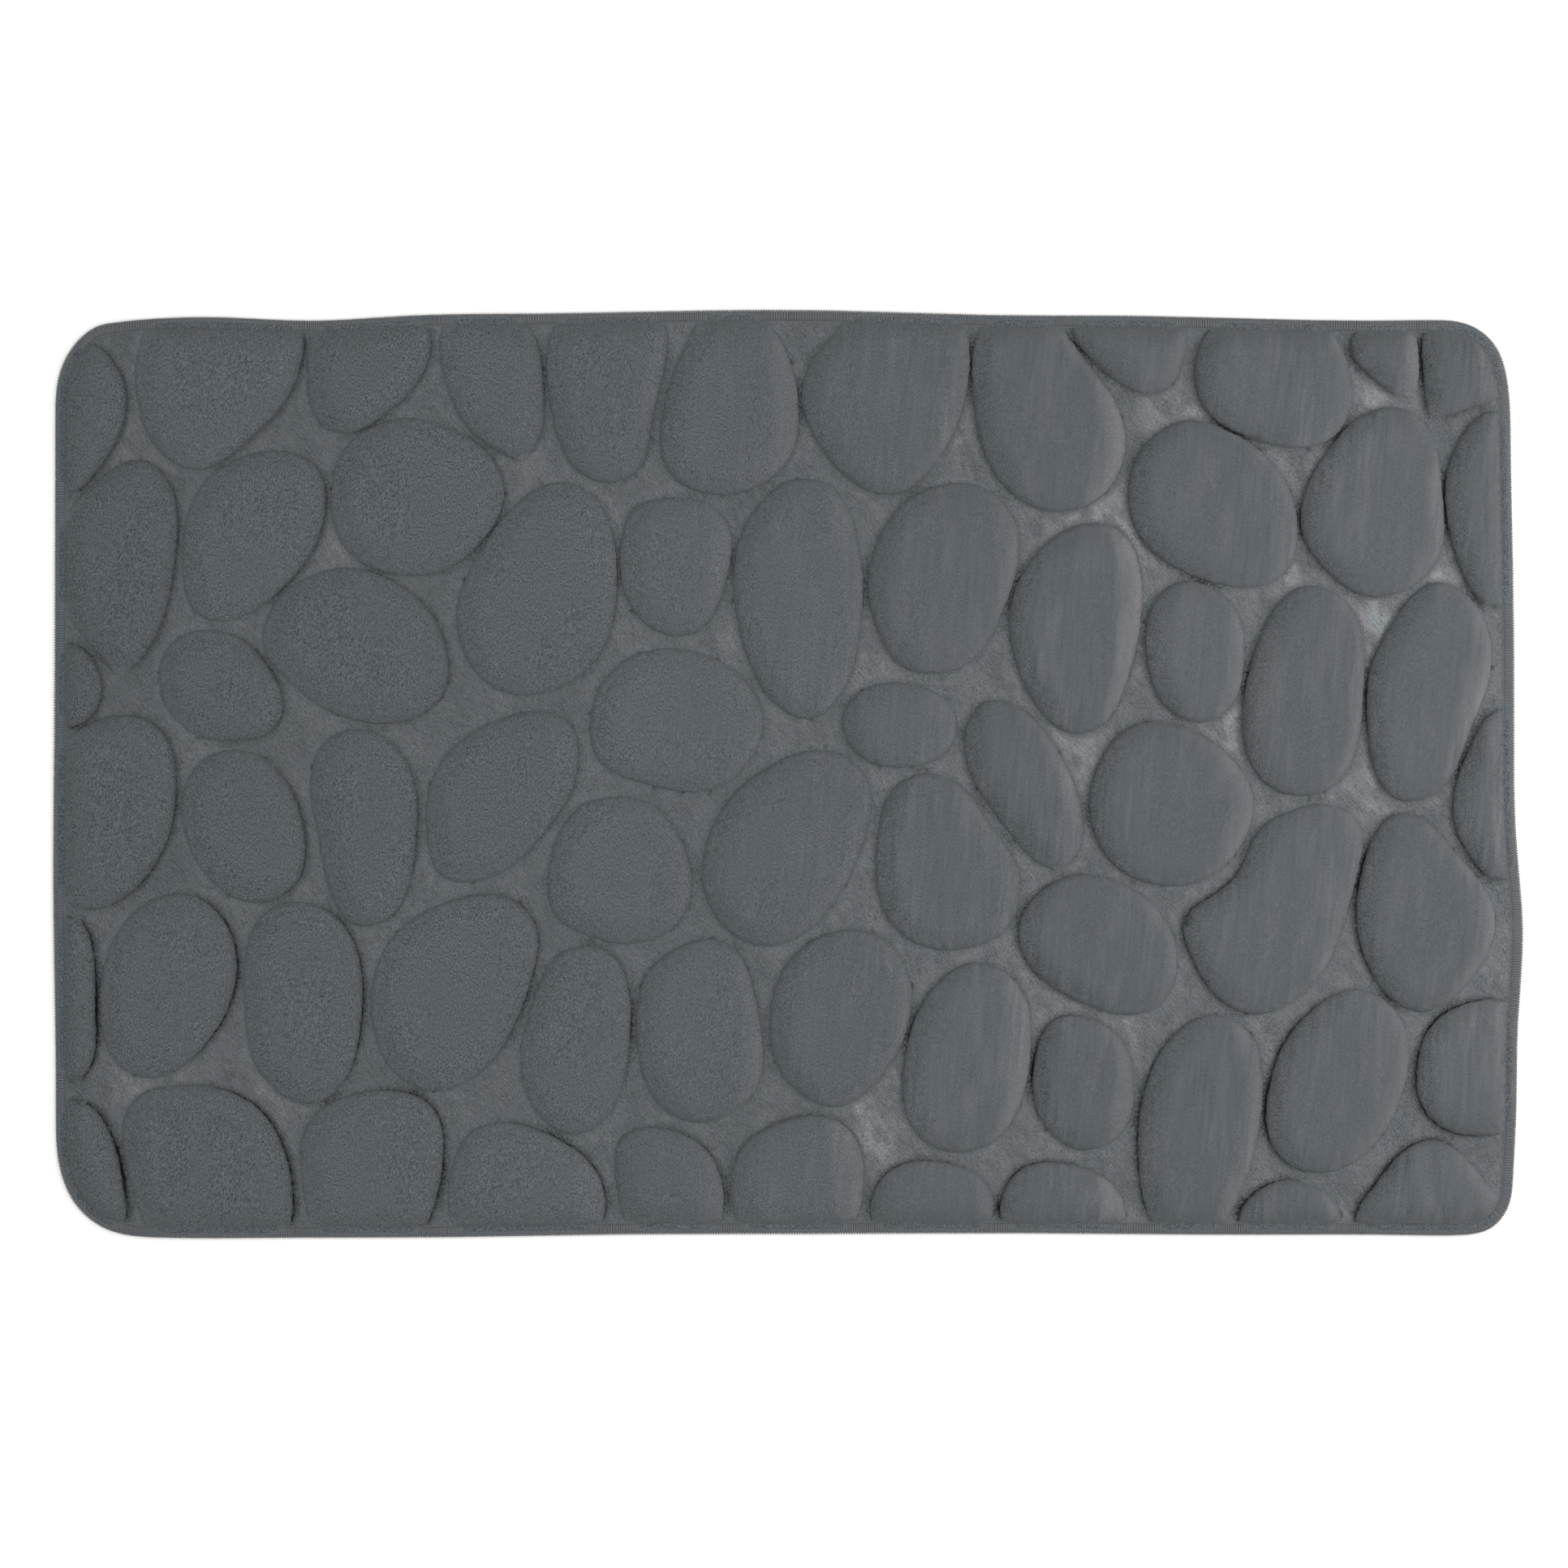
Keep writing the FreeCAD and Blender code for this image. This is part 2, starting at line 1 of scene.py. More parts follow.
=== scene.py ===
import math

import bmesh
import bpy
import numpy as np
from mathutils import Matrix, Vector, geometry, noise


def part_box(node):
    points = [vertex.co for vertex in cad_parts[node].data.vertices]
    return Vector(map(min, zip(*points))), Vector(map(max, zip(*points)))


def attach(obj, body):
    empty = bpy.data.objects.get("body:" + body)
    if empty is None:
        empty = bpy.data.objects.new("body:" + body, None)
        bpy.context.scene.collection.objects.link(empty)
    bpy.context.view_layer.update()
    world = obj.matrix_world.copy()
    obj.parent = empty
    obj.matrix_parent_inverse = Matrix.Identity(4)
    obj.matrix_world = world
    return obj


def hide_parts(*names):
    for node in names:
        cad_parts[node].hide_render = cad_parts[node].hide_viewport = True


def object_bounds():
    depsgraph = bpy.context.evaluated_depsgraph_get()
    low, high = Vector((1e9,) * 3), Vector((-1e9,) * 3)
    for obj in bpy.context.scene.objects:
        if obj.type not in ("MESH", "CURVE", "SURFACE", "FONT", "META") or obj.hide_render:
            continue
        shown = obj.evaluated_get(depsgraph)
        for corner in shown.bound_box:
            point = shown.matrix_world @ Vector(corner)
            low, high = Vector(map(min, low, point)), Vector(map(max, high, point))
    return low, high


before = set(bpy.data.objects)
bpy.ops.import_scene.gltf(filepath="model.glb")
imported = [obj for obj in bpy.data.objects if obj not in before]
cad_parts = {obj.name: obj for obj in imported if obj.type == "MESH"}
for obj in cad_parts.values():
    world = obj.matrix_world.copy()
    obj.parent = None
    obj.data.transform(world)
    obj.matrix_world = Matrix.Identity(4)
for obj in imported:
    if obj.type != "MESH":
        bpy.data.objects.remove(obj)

# Looks of the pebble bath mat. Lengths are in metres. X is east and Y is north.
#
# The cover is one sheet, meshed in rings around every pebble so that the walls are crisp, and its
# outlines are read from the CAD solids. The overlock is sewn from real thread paths.

MM = 0.001

cad_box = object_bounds()
rng = np.random.default_rng(7)

# ----------------------------------------
# Sizes that the frame gives
# ----------------------------------------
FLOOR_Z = cad_box[0].z
BACKING_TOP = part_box("backing_cloth")[1].z
BACKING_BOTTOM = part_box("backing_cloth")[0].z
WEB_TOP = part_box("pile_cover")[0].z
GROOVE_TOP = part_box("needle_thread")[0].z
HEM_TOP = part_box("upper_looper_thread")[1].z
CROWN_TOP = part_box("pile_cover")[1].z
FOAM_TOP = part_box("foam_core")[1].z
COVER_THICKNESS = CROWN_TOP - FOAM_TOP
HEM_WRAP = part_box("lower_looper_thread")[1].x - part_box("backing_cloth")[1].x
HEM_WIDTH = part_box("lower_looper_thread")[1].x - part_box("needle_thread")[1].x

# ----------------------------------------
# Sizes of the looks
# ----------------------------------------
# The cover's shape
RING_SPACING = 2.22 * MM         # between the points around a pebble's rim
FILL_SPACING = 3.15 * MM         # between the points on the crowns and in the grooves
FILL_SCATTER = 0.12              # of their spacing: how far those points stray from an even grid
PILE_LIFT = 1.0 * MM             # how far the pile stands above the cloth it grows from
WALL_DEPTH = 0.5 * MM            # from a pebble's rim in to the top of its steep wall
WALL_SHARE = 0.42                # how much of the rise is steep wall; the rest is the shoulder
WALL_FUZZ = 0.24 * MM            # how ragged the pile makes a wall
SHOULDER_REACH = 15 * MM         # how far in from the wall the shoulder goes on rising
SHOULDER_DEPTHS = (2.8 * MM, 4.0 * MM, 5.6 * MM, 7.6 * MM)
HEM_ROLL = 13 * MM               # over how much a pebble that the hem cuts rolls down to it
HEM_BLEND = 6 * MM               # in from a rim: where a pebble's pile lies fully over the hem
HEM_CLEARANCE = 1.0 * MM         # from the needle line in to the nearest ring or loose point
LEAST_RISE = 0.05                # of a pebble's rise is left where the hem cuts it
GROOVE_CLEARANCE = 1.9 * MM      # from a rim out to the nearest loose point
CROWN_CLEARANCE = 1.2 * MM       # from a pebble's last ring in to the nearest loose point
CREASE_DEPTH = 0.8 * MM          # how much deeper the cover is pinched at a pebble's foot
# These strengths also set how dark the painted shade at a pebble's foot is.
LEAST_PINCH = 0.1                # on the sides of the pebbles that face the mat's edge
INNER_PINCH = 0.45               # so much more on the sides that face its middle
SOUTH_PINCH = 1.7                # and so much more again where those lie in the south
PILLOW = 0.8 * MM                # how much the middle of a wide groove stands above its edges
PILLOW_REACH = 4 * MM            # how quickly it gets there
LUMPS = ((0.2 * MM, 16 * MM, 3.0), (0.1 * MM, 4 * MM, 9.0))   # height, size and noise seed
GROOVE_LUMPS = 0.4               # of the lumps' height is left in the grooves
TUCK_OUTSET = 0.15 * MM          # from the foam's side out to the cover's tucked-down edge
TUCK_ROUND = 0.3 * MM            # how far down that edge turns before it drops straight

# Rings of points around a pebble, from its foot up: place in the flat sheet and place when
# embossed, both measured outwards from the rim, and share of the rise.
COVER_RINGS = [
    (0.9 * MM, 0.9 * MM, 0.0),
    (0.0 * MM, 0.2 * MM, 0.0),
    (-0.6 * MM, 0.05 * MM, 0.16),
    (-1.2 * MM, -0.15 * MM, 0.32),
    (-1.9 * MM, -WALL_DEPTH, WALL_SHARE),
]
# The pinch across a pebble's foot, and its painted shade: places inwards from the rim, and how
# strong it is there.
CREASE_PLACES = (-0.9 * MM, 0.0, 0.6 * MM, 1.2 * MM, 1.9 * MM)
CREASE_SHARES = (0.3, 1.0, 0.7, 0.3, 0.0)
# How the pile lies over the overlock, from the needle line outwards: a pebble's pile covers the
# inner half of the threads, and the grooves' pile goes under them.
HEM_PLACES = np.array((0.0, 1.0 * MM, 2.5 * MM, 3.4 * MM, HEM_WIDTH - HEM_WRAP))
PEBBLE_OVER_HEM = np.array((0.2, 0.8, 1.05, 0.5, -0.8)) * MM
GROUND_OVER_HEM = np.array((0.0, -0.2, -0.4, -0.5, -0.8)) * MM

# The foam's shape: the same rings for its bosses, which are smaller by the cover's thickness
FOAM_SPACING = 6 * MM            # between the points of the foam's top
FOAM_RISE = CROWN_TOP - GROOVE_TOP - 0.5 * MM   # from the web to the top of the bosses
FOAM_GROOVE_CLEARANCE = 2.0 * MM
FOAM_CROWN_CLEARANCE = COVER_THICKNESS + 4.5 * MM
FOAM_HEM_CLEARANCE = 5 * MM
FOAM_RINGS = [
    (-COVER_THICKNESS, -COVER_THICKNESS - 0.1 * MM, 0.0),
    (-COVER_THICKNESS - 1.6 * MM, -COVER_THICKNESS - 0.5 * MM, WALL_SHARE),
]

# Where the looks change over the mat: each pair is where a change starts and where it is full
SOUTH_HALF = (0.0, -250 * MM)    # the pinched feet with their painted shade and the painted shade in the gaps grow stronger
EAST_HALF = (-150 * MM, 140 * MM)   # the pile is brushed, the grooves open, and painted light and shade from the right come in
WEST_END = (-216 * MM, -396 * MM)   # the pile is a little darker
TURN_REACH = 250 * MM            # how far from the middle a pebble's side counts as turned in full
TURN_WEIGHTS = (1, 0.35)         # how much it counts along X and along Y
GAP_WIDTH = 5.0 * MM             # pebbles closer together than this have painted shade in the gap between them
GAP_OVERLAP = 0.7 * MM           # how far over a pebble's rim the painted shade of a gap reaches
LEAST_GAP = 0.4                  # how dark the painted shade in the gaps is in the north-west
EAST_GAP = 0.7                   # how much of the full painted gap shade is reached in the east alone
OPEN_GROUND = (0.3 * MM, 3.3 * MM)   # out from a rim: where a groove's brushed pile comes in
OPEN_SHARES = (0.19, 0.26, 0.88)     # everywhere, so much more in the east, and in the patches
PAINTED_EDGE_LIGHT_WIDTH = 2.2 * MM             # how wide the painted light line along a pebble's outer side is
WEST_TONE = 2.5                  # how much darker the west end is, in steps of a pebble's tone
# Wide grooves where the pile lies the other way and looks lighter and warmer: place and strength.
# Strengths add up where two of them overlap, and a negative one takes some of the light away.
PATCH_SIZE = 26 * MM
BRUSHED_PATCHES = [
    (-0.365, 0.175, 0.35), (-0.355, -0.168, 0.5), (-0.275, 0.165, 0.3), (-0.245, 0.120, 0.3),
    (-0.300, -0.185, 0.4), (-0.160, 0.165, 0.3), (-0.100, 0.130, 0.3), (-0.020, 0.060, 0.3),
    (-0.055, -0.150, 0.4), (0.015, 0.070, 0.2), (0.000, -0.095, 0.3), (0.045, -0.195, 0.55),
    (0.060, 0.050, 0.2), (0.090, 0.090, 0.3), (0.135, 0.130, 0.4), (0.178, 0.150, 0.65),
    (0.105, 0.190, 0.3), (0.160, 0.010, 0.45), (0.213, 0.205, 0.4), (0.236, 0.028, 0.6),
    (0.190, -0.140, 0.45), (0.165, -0.065, 0.3), (0.330, 0.208, 0.55), (0.340, 0.100, 1.8),
    (0.320, -0.005, 0.9), (0.275, 0.120, 0.5), (0.355, 0.000, 0.5), (0.110, -0.120, 0.3),
    (0.335, 0.075, 0.5), (0.205, 0.120, 0.4), (0.120, 0.030, 0.3), (0.245, -0.060, 0.2),
    (0.330, -0.190, -0.3), (0.395, -0.060, -0.3),
]

# The overlock
STITCH_PITCH = 1.45 * MM
THREAD_RADIUS = 0.29 * MM
THREAD_SIDES = 5
LEG_PLACE = 0.3                  # of a stitch: where a looper thread's legs run over the hem
LOOP_SWAY = 0.025                # of a stitch: how uneven the loops are
LOOP_LIFT = 0.03 * MM            # how unevenly they lie on the hem
HEM_FLAT = 0.5                   # of the hem's width is flat, and the rest rounds over
HEM_FLAT_PATH = 0.25             # of a thread's way round the hem is on the flat top
HEM_ROUNDNESS = 0.8              # 1 rounds the edge to an ellipse, and less makes it squarer
HEM_DIP = 0.5 * MM               # how far the needle thread draws the hem's inner side down
# Places on the hem's section, as shares of the way round it: where each looper thread starts,
# where it turns back, and the points of its legs between them.
UPPER_LOOP = (-0.02, 0.515, (0.12, 0.26, 0.37, 0.46))
LOWER_LOOP = (1.0, 0.49, (0.85, 0.7, 0.6, 0.54))
NEEDLE_INSET = 0.3 * MM          # from the needle line in to the middle of its thread
NEEDLE_RADIUS = 0.3 * MM
# One stitch of the needle thread: places along the stitch and heights above the groove.
NEEDLE_STITCH = ((0.0, -0.25 * MM), (0.3, 0.3 * MM), (0.7, 0.3 * MM))

# The underside
BACKING_SPACING = 9 * MM
BACKING_WAVE = 0.08 * MM
BACKING_CLOTH = 0.6              # of the CAD backing's thickness, so that its waves fit in too
DOT_PITCH = 10 * MM
DOT_RADIUS = 2.1 * MM
DOT_SIDES = 8
DOT_SCATTER = 0.08 * MM
DOT_SHOULDER = (0.7, 0.12)       # of the radius, and of the way up from the floor to the backing
GRIP_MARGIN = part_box("needle_thread")[1].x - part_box("grip_coating")[1].x
LABEL_CLOTH = 0.2 * MM
LABEL_RIPPLE = 0.03 * MM
LABEL_RIPPLE_REACH = 4 * MM


# ----------------------------------------
# Outlines
# ----------------------------------------
def slice_node(name, height):
    """The closed outlines, as arrays of (x, y), where a CAD node's solid crosses a height."""
    weld = 0.005 * MM
    fewest_points = 9
    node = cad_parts[name]
    mesh = bmesh.new()
    mesh.from_mesh(node.data)
    mesh.transform(node.matrix_world)
    everything = mesh.verts[:] + mesh.edges[:] + mesh.faces[:]
    bmesh.ops.bisect_plane(mesh, geom=everything, plane_co=(0, 0, height), plane_no=(0, 0, 1),
                           clear_inner=True, clear_outer=True)
    bmesh.ops.remove_doubles(mesh, verts=mesh.verts[:], dist=weld)
    used = set()
    outlines = []
    for start in mesh.verts:
        vertex = None if start in used else start
        outline = []
        while vertex:
            used.add(vertex)
            outline.append((vertex.co.x, vertex.co.y))
            step = [edge.other_vert(vertex) for edge in vertex.link_edges]
            step = [other for other in step if other not in used]
            vertex = step[0] if step else None
        if len(outline) >= fewest_points:
            outline = np.array(outline)
            outlines.append(np.roll(outline, -outline[:, 0].argmax(), axis=0))
    mesh.free()
    return sorted(outlines, key=lambda outline: (round(outline[0, 0], 5), round(outline[0, 1], 5)))


def area_of(outline):
    """Signed area, positive for a counter-clockwise outline."""
    after = np.roll(outline, -1, axis=0)
    return 0.5 * np.sum(outline[:, 0] * after[:, 1] - outline[:, 1] * after[:, 0])


def resampled(outline, spacing):
    """A counter-clockwise outline with evenly spaced points, its facets smoothed away."""
    fewest_points = 24
    smoothing_rounds = 3
    if area_of(outline) < 0:
        outline = outline[::-1]
    closed = np.vstack([outline, outline[:1]])
    along = np.concatenate([[0], np.cumsum(np.linalg.norm(np.diff(closed, axis=0), axis=1))])
    count = max(fewest_points, round(along[-1] / spacing))
    places = np.linspace(0, along[-1], count, endpoint=False)
    even = np.column_stack([np.interp(places, along, closed[:, axis]) for axis in (0, 1)])
    for _ in range(smoothing_rounds):
        even = 0.5 * even + 0.25 * (np.roll(even, 1, axis=0) + np.roll(even, -1, axis=0))
    return even


def unit(vectors):
    """Vectors scaled to length 1."""
    return vectors / np.maximum(np.linalg.norm(vectors, axis=1), 1e-9)[:, None]


def outward_normals(outline):
    """Unit vectors square to a counter-clockwise outline, pointing outwards."""
    along = np.roll(outline, -1, axis=0) - np.roll(outline, 1, axis=0)
    along /= np.linalg.norm(along, axis=1)[:, None]
    return np.column_stack([along[:, 1], -along[:, 0]])


def signed_distance(points, outline):
    """Distances of points from an outline, negative inside it."""
    start = outline
    edge = np.roll(outline, -1, axis=0) - start
    away = points[:, None, :] - start[None, :, :]
    share = np.clip((away * edge).sum(2) / (edge * edge).sum(1), 0, 1)
    gap = away - share[:, :, None] * edge
    distance = np.sqrt((gap * gap).sum(2).min(1))
    end = start + edge
    crosses = (start[:, 1] > points[:, 1:]) != (end[:, 1] > points[:, 1:])
    rise = np.where(edge[:, 1] == 0, 1, edge[:, 1])
    where = start[:, 0] + (points[:, 1:] - start[:, 1]) / rise * edge[:, 0]
    inside = (crosses & (points[:, :1] < where)).sum(1) % 2 == 1
    return np.where(inside, -distance, distance)


def nearest_pebbles(points):
    """For each point: distance to the nearest pebble, that pebble, and distance to the second.

    Distances are not followed past a reach. With no pebble within it, the pebble is -1.
    """
    reach = 14 * MM
    near = np.full(len(points), reach)
    second = np.full(len(points), reach)
    which = np.full(len(points), -1)
    for number, rim in enumerate(pebble_rims):
        low, high = rim.min(0) - reach, rim.max(0) + reach
        close = np.flatnonzero(((points > low) & (points < high)).all(1))
        distance = signed_distance(points[close], rim)
        nearer = distance < near[close]
        second[close] = np.where(nearer, near[close], np.minimum(second[close], distance))
        near[close] = np.where(nearer, distance, near[close])
        which[close] = np.where(nearer, number, which[close])
    return near, which, second


layer_rim = resampled(slice_node("backing_cloth", (BACKING_BOTTOM + BACKING_TOP) / 2)[0],
                      STITCH_PITCH)
hem_normals = outward_normals(layer_rim)


def hem_line(outset):
    """The line along the hem at a distance outwards from the needle line."""
    return layer_rim + (outset - (HEM_WIDTH - HEM_WRAP)) * hem_normals


def depth_inside_hem(points):
    """Distances inwards from the needle line, up to twice the hem's roll."""
    line = hem_line(0)[::3]
    limit = 2 * HEM_ROLL
    points_at_once = 4000
    low, high = line.min(0) + limit, line.max(0) - limit
    outer = np.flatnonzero(~((points > low) & (points < high)).all(1))
    depth = np.full(len(points), limit)
    for part in np.array_split(outer, max(1, len(outer) // points_at_once)):
        depth[part] = np.minimum(limit, -signed_distance(points[part], line))
    return depth


def carried_past_hem(rim):
    """A pebble's rim whose stretch along the hem, if it has one, is moved out past the mat."""
    past_mat = 3 * HEM_ROLL
    at_hem = depth_inside_hem(rim) < COVER_THICKNESS / 2
    nearest = np.array([np.argmin(((hem_line(0) - p) ** 2).sum(1)) for p in rim])
    return rim + (at_hem * past_mat)[:, None] * hem_normals[nearest]


pebble_rims = []
for foam_outline in slice_node("foam_core", (WEB_TOP + FOAM_TOP) / 2):
    boss = resampled(foam_outline, RING_SPACING)
    grown = boss + COVER_THICKNESS * outward_normals(boss)
    pebble_rims.append(resampled(carried_past_hem(grown), RING_SPACING))


# ----------------------------------------
# Helpers for meshes
# ----------------------------------------
def make_object(name, vertices, faces):
    """A smooth mesh object from arrays or lists of vertices and faces."""
    mesh = bpy.data.meshes.new(name)
    mesh.from_pydata([tuple(v) for v in vertices], [], [tuple(f) for f in faces])
    mesh.validate()
    mesh.polygons.foreach_set("use_smooth", [True] * len(mesh.polygons))
    mesh.update()
    made = bpy.data.objects.new(name, mesh)
    bpy.context.scene.collection.objects.link(made)
    return made


def add_attribute(made, name, values):
    """One number per vertex that the object's material can read."""
    attribute = made.data.attributes.new(name, "FLOAT", "POINT")
    attribute.data.foreach_set("value", np.asarray(values, dtype=np.float32))


def triangle_grid(low, high, pitch):
    """Rows of points a pitch apart, every second row moved along by half a pitch."""
    rows = np.arange(low[1], high[1], pitch * math.sqrt(3) / 2)
    columns = np.arange(low[0], high[0], pitch)
    x, y = np.meshgrid(columns, rows)
    x = x + (np.arange(len(rows)) % 2)[:, None] * pitch / 2
    return np.column_stack([x.ravel(), y.ravel()])


def thicken(made, thickness):
    """Give a single layer of cloth its thickness, half to each side."""
    solidify = made.modifiers.new("thickness", "SOLIDIFY")
    solidify.thickness = thickness
    solidify.offset = 0


def between(value, start, end):
    """0 up to start and 1 from end on, and straight between them; end may be below start."""
    return np.clip((value - start) / (end - start), 0, 1)


def noise_at(points, scale, seed):
    """Smooth noise between about -1 and 1 at each point, with features of a size."""
    return np.array([noise.noise(Vector((x / scale, y / scale, seed))) for x, y in points])


# ----------------------------------------
# The cover
# ----------------------------------------
def shoulder_share(depth):
    """The share of the rise that a pebble has reached at a depth inside its rim."""
    part = between(depth, WALL_DEPTH, WALL_DEPTH + SHOULDER_REACH)
    return WALL_SHARE + (1 - WALL_SHARE) * (1 - (1 - part) ** 2)


def ring_points(rings, fuzz):
    """The points around every pebble: flat place, embossed place, and a row of facts.

    The facts are the place, the share of the rise and the pebble's number.
    """
    flat, embossed, facts = [], [], []
    for number, full_rim in enumerate(pebble_rims):
        rim = resampled(full_rim, RING_SPACING)
        normals = outward_normals(rim)
        for place, outset, share in rings:
            ragged = rng.normal(0, fuzz, len(rim))[:, None]
            flat.append(rim + place * normals)
            embossed.append(rim + (outset + ragged) * normals)
            facts.append(np.tile((place, share, number), (len(rim), 1)))
    return np.vstack(flat), np.vstack(embossed), np.vstack(facts)


def fill_points(spacing, ground_gap, crown_gap):
    """Loosely scattered points on the crowns and in the grooves, clear of the rings."""
    fill = triangle_grid(layer_rim.min(0), layer_rim.max(0), spacing)
    fill += rng.normal(0, FILL_SCATTER * spacing, fill.shape)
    fill = fill[depth_inside_hem(fill) > HEM_CLEARANCE]
    near, _, _ = nearest_pebbles(fill)
    return fill[(near > ground_gap) | (near < -crown_gap)]


def triangulated(points, rim_count):
    """Triangles over points whose first rim_count are the mat's outline, and each one's source."""
    tolerance = 0.0001
    rim = [(number, (number + 1) % rim_count) for number in range(rim_count)]
    result = geometry.delaunay_2d_cdt([Vector(p / MM) for p in points], rim, [], 0, tolerance)
    source = np.array([origin[0] for origin in result[3]])
    triangles = np.array(result[2])
    centres = points[source[triangles]].mean(1)
    return triangles[depth_inside_hem(centres) > -(HEM_WIDTH - HEM_WRAP)], source


def place_in(source, count):
    """Where the first count points have gone in a triangulation's own order."""
    place = np.zeros(source.max() + 1, int)
    place[source] = np.arange(len(source))
    return place[:count]


def strip_faces(above, below):
    """The faces of a closed strip between two rows of points."""
    return np.column_stack([above, below, np.roll(below, -1), np.roll(above, -1)]).tolist()


class Embossed:
    """A sheet pressed over the pebbles: its outline, then rings of points, then loose points.

    For every point it holds the place when flat and when embossed, the distances to the nearest
    two pebbles and inwards from the needle line, how far the hem lets it rise (roll), and its
    share of the pebbles' rise, with the hem (share) and without it (full_share).
    """

    def __init__(self, rings, fill, fuzz=0.0, hem_shift=0.0):
        flat, embossed, facts = ring_points(rings, fuzz)
        kept = self.is_clear(flat, facts, hem_shift)
        flat, embossed, facts = flat[kept], embossed[kept], facts[kept]
        self.flat = np.vstack([layer_rim, flat, fill])
        self.xy = np.vstack([layer_rim, embossed, fill])
        self.rim_count = len(layer_rim)
        self.faces, self.source = triangulated(self.flat, self.rim_count)

        self.near, self.which, self.second = nearest_pebbles(self.flat)
        self.hem_depth = depth_inside_hem(self.flat) - hem_shift
        self.roll = between(self.hem_depth, 0, HEM_ROLL)
        ringed = slice(self.rim_count, self.rim_count + len(flat))
        share = np.where(self.near < min(0, rings[-1][0]), shoulder_share(-self.near), 0)
        share[ringed] = facts[:, 1]
        self.full_share = share
        rolled = LEAST_RISE + (1 - LEAST_RISE) * np.sqrt(1 - (1 - self.roll) ** 2)
        self.share = share * rolled
        self.place = np.full(len(self.flat), np.inf)
        self.place[ringed] = facts[:, 0]

    @staticmethod
    def is_clear(flat, facts, hem_shift):
        """Which ring points are where their ring should be, clear of other pebbles and the hem."""
        place = facts[:, 0]
        near, which, second = nearest_pebbles(flat)
        in_place = (which == facts[:, 2]) & (np.abs(near - place) < 0.12 * RING_SPACING)
        inside = place < 0.1 * MM
        has_room = second > 1.6 * place + 0.3 * MM
        off_hem = depth_inside_hem(flat) - hem_shift > HEM_CLEARANCE
        return in_place & (inside | has_room) & off_hem


def turned_in(sheet):
    """How far each point's side of its pebble faces the mat's middle; negative faces its edge."""
    middles = np.array([rim.mean(0) for rim in pebble_rims] + [(0, 0)])
    outward = unit(sheet.flat - middles[sheet.which])
    return -(outward * sheet.flat * TURN_WEIGHTS).sum(1) / TURN_REACH


def pinch(sheet):
    """How hard the cover is pinched at the pebbles' feet, from 0 to 1.

    The sides that face the mat's middle are pinched, and more so in the south. The same strength
    sets the painted shade in the crease.
    """
    line = np.interp(-sheet.place, CREASE_PLACES, CREASE_SHARES, left=0)
    inner = np.clip(turned_in(sheet), 0, 1)
    south = between(sheet.flat[:, 1], *SOUTH_HALF)
    strength = LEAST_PINCH + inner * (INNER_PINCH + SOUTH_PINCH * south)
    return np.clip(line * strength, 0, 1) * between(sheet.roll, 0, 0.25)


def cover_heights(sheet, crease):
    """The height of the pile at every point of the cover."""
    near, share, roll = sheet.near, sheet.share, sheet.roll
    ground_level = GROOVE_TOP + PILE_LIFT * roll
    pillow = PILLOW * np.where(near > 0, 1 - np.exp(-near / PILLOW_REACH), 0) * roll
    pebble_over_hem = np.interp(-sheet.hem_depth, HEM_PLACES, PEBBLE_OVER_HEM, left=0)
    ground_over_hem = np.interp(-sheet.hem_depth, HEM_PLACES, GROUND_OVER_HEM, left=0)
    on_pebble = between(near, 0, -HEM_BLEND)
    over_hem = ground_over_hem + on_pebble * (pebble_over_hem - ground_over_hem)
    lumps = sum(height * noise_at(sheet.flat, size, seed) for height, size, seed in LUMPS)
    z = ground_level + (CROWN_TOP - GROOVE_TOP - PILE_LIFT) * share + pillow
    z += lumps * (GROOVE_LUMPS + (1 - GROOVE_LUMPS) * share)
    return z - CREASE_DEPTH * crease + over_hem


def pile_facts(sheet, crease):
    """What the pile's material is told about every point of the cover, by name."""
    x, y = sheet.flat.T
    near, share, which = sheet.near, sheet.share, sheet.which
    tones = np.append(rng.normal(0, 1, len(pebble_rims)), 0)
    strips = np.append(rng.normal(0.3, 0.6, len(pebble_rims)), 0)
    sides = np.array([(rim[:, 0].min(), rim[:, 0].max()) for rim in pebble_rims] + [(0, 1)])
    left, right = sides[which].T
    south = between(y, *SOUTH_HALF)
    east = between(x, *EAST_HALF)
    west = between(x, *WEST_END)
    patches = np.zeros(len(near))
    for patch_x, patch_y, strength in BRUSHED_PATCHES:
        distance = np.hypot(x - patch_x, y - patch_y)
        patches += strength * np.exp(-(distance / PATCH_SIZE) ** 2)
    # Painted shade in the narrow gaps between pebbles, strongest in the south and the east, and
    # less in the brushed patches.
    gap = between(sheet.second, GAP_WIDTH, GAP_WIDTH / 3) * (near > -GAP_OVERLAP)
    gap *= LEAST_GAP + (1 - LEAST_GAP) * np.maximum(south, EAST_GAP * east)
    gap *= between(patches, 1.2, 0.2)
    everywhere, in_east, in_patches = OPEN_SHARES
    openness = everywhere + in_east * east + in_patches * patches
    # Painted light along the sides of the pebbles that face the mat's edge, against the shade at
    # their feet.
    outer = between(turned_in(sheet), 1, -1) * (which >= 0)
    return {
        "ground": between(sheet.full_share, 0.3, 0),
        "open": between(near, *OPEN_GROUND) * openness,
        # painted shade at the pinched feet and in the narrow gaps
        "crease": np.clip(crease + gap, 0, 1),
        # painted light along the pebbles' outer sides
        "edge": outer * np.exp(-np.abs(near) / PAINTED_EDGE_LIGHT_WIDTH),
        "tone": tones[which] * (share > 0.1) - WEST_TONE * west,
        "across": (x - left) / (right - left),
        # where the nap's strokes lie and where the painted side light and shade go: the pebbles'
        # crowns in the east
        "nap_and_side_light": east * between(share, 0, 0.5),
        "strip": east * np.clip(strips[which], 0, 1) * (share > 0.3),
    }


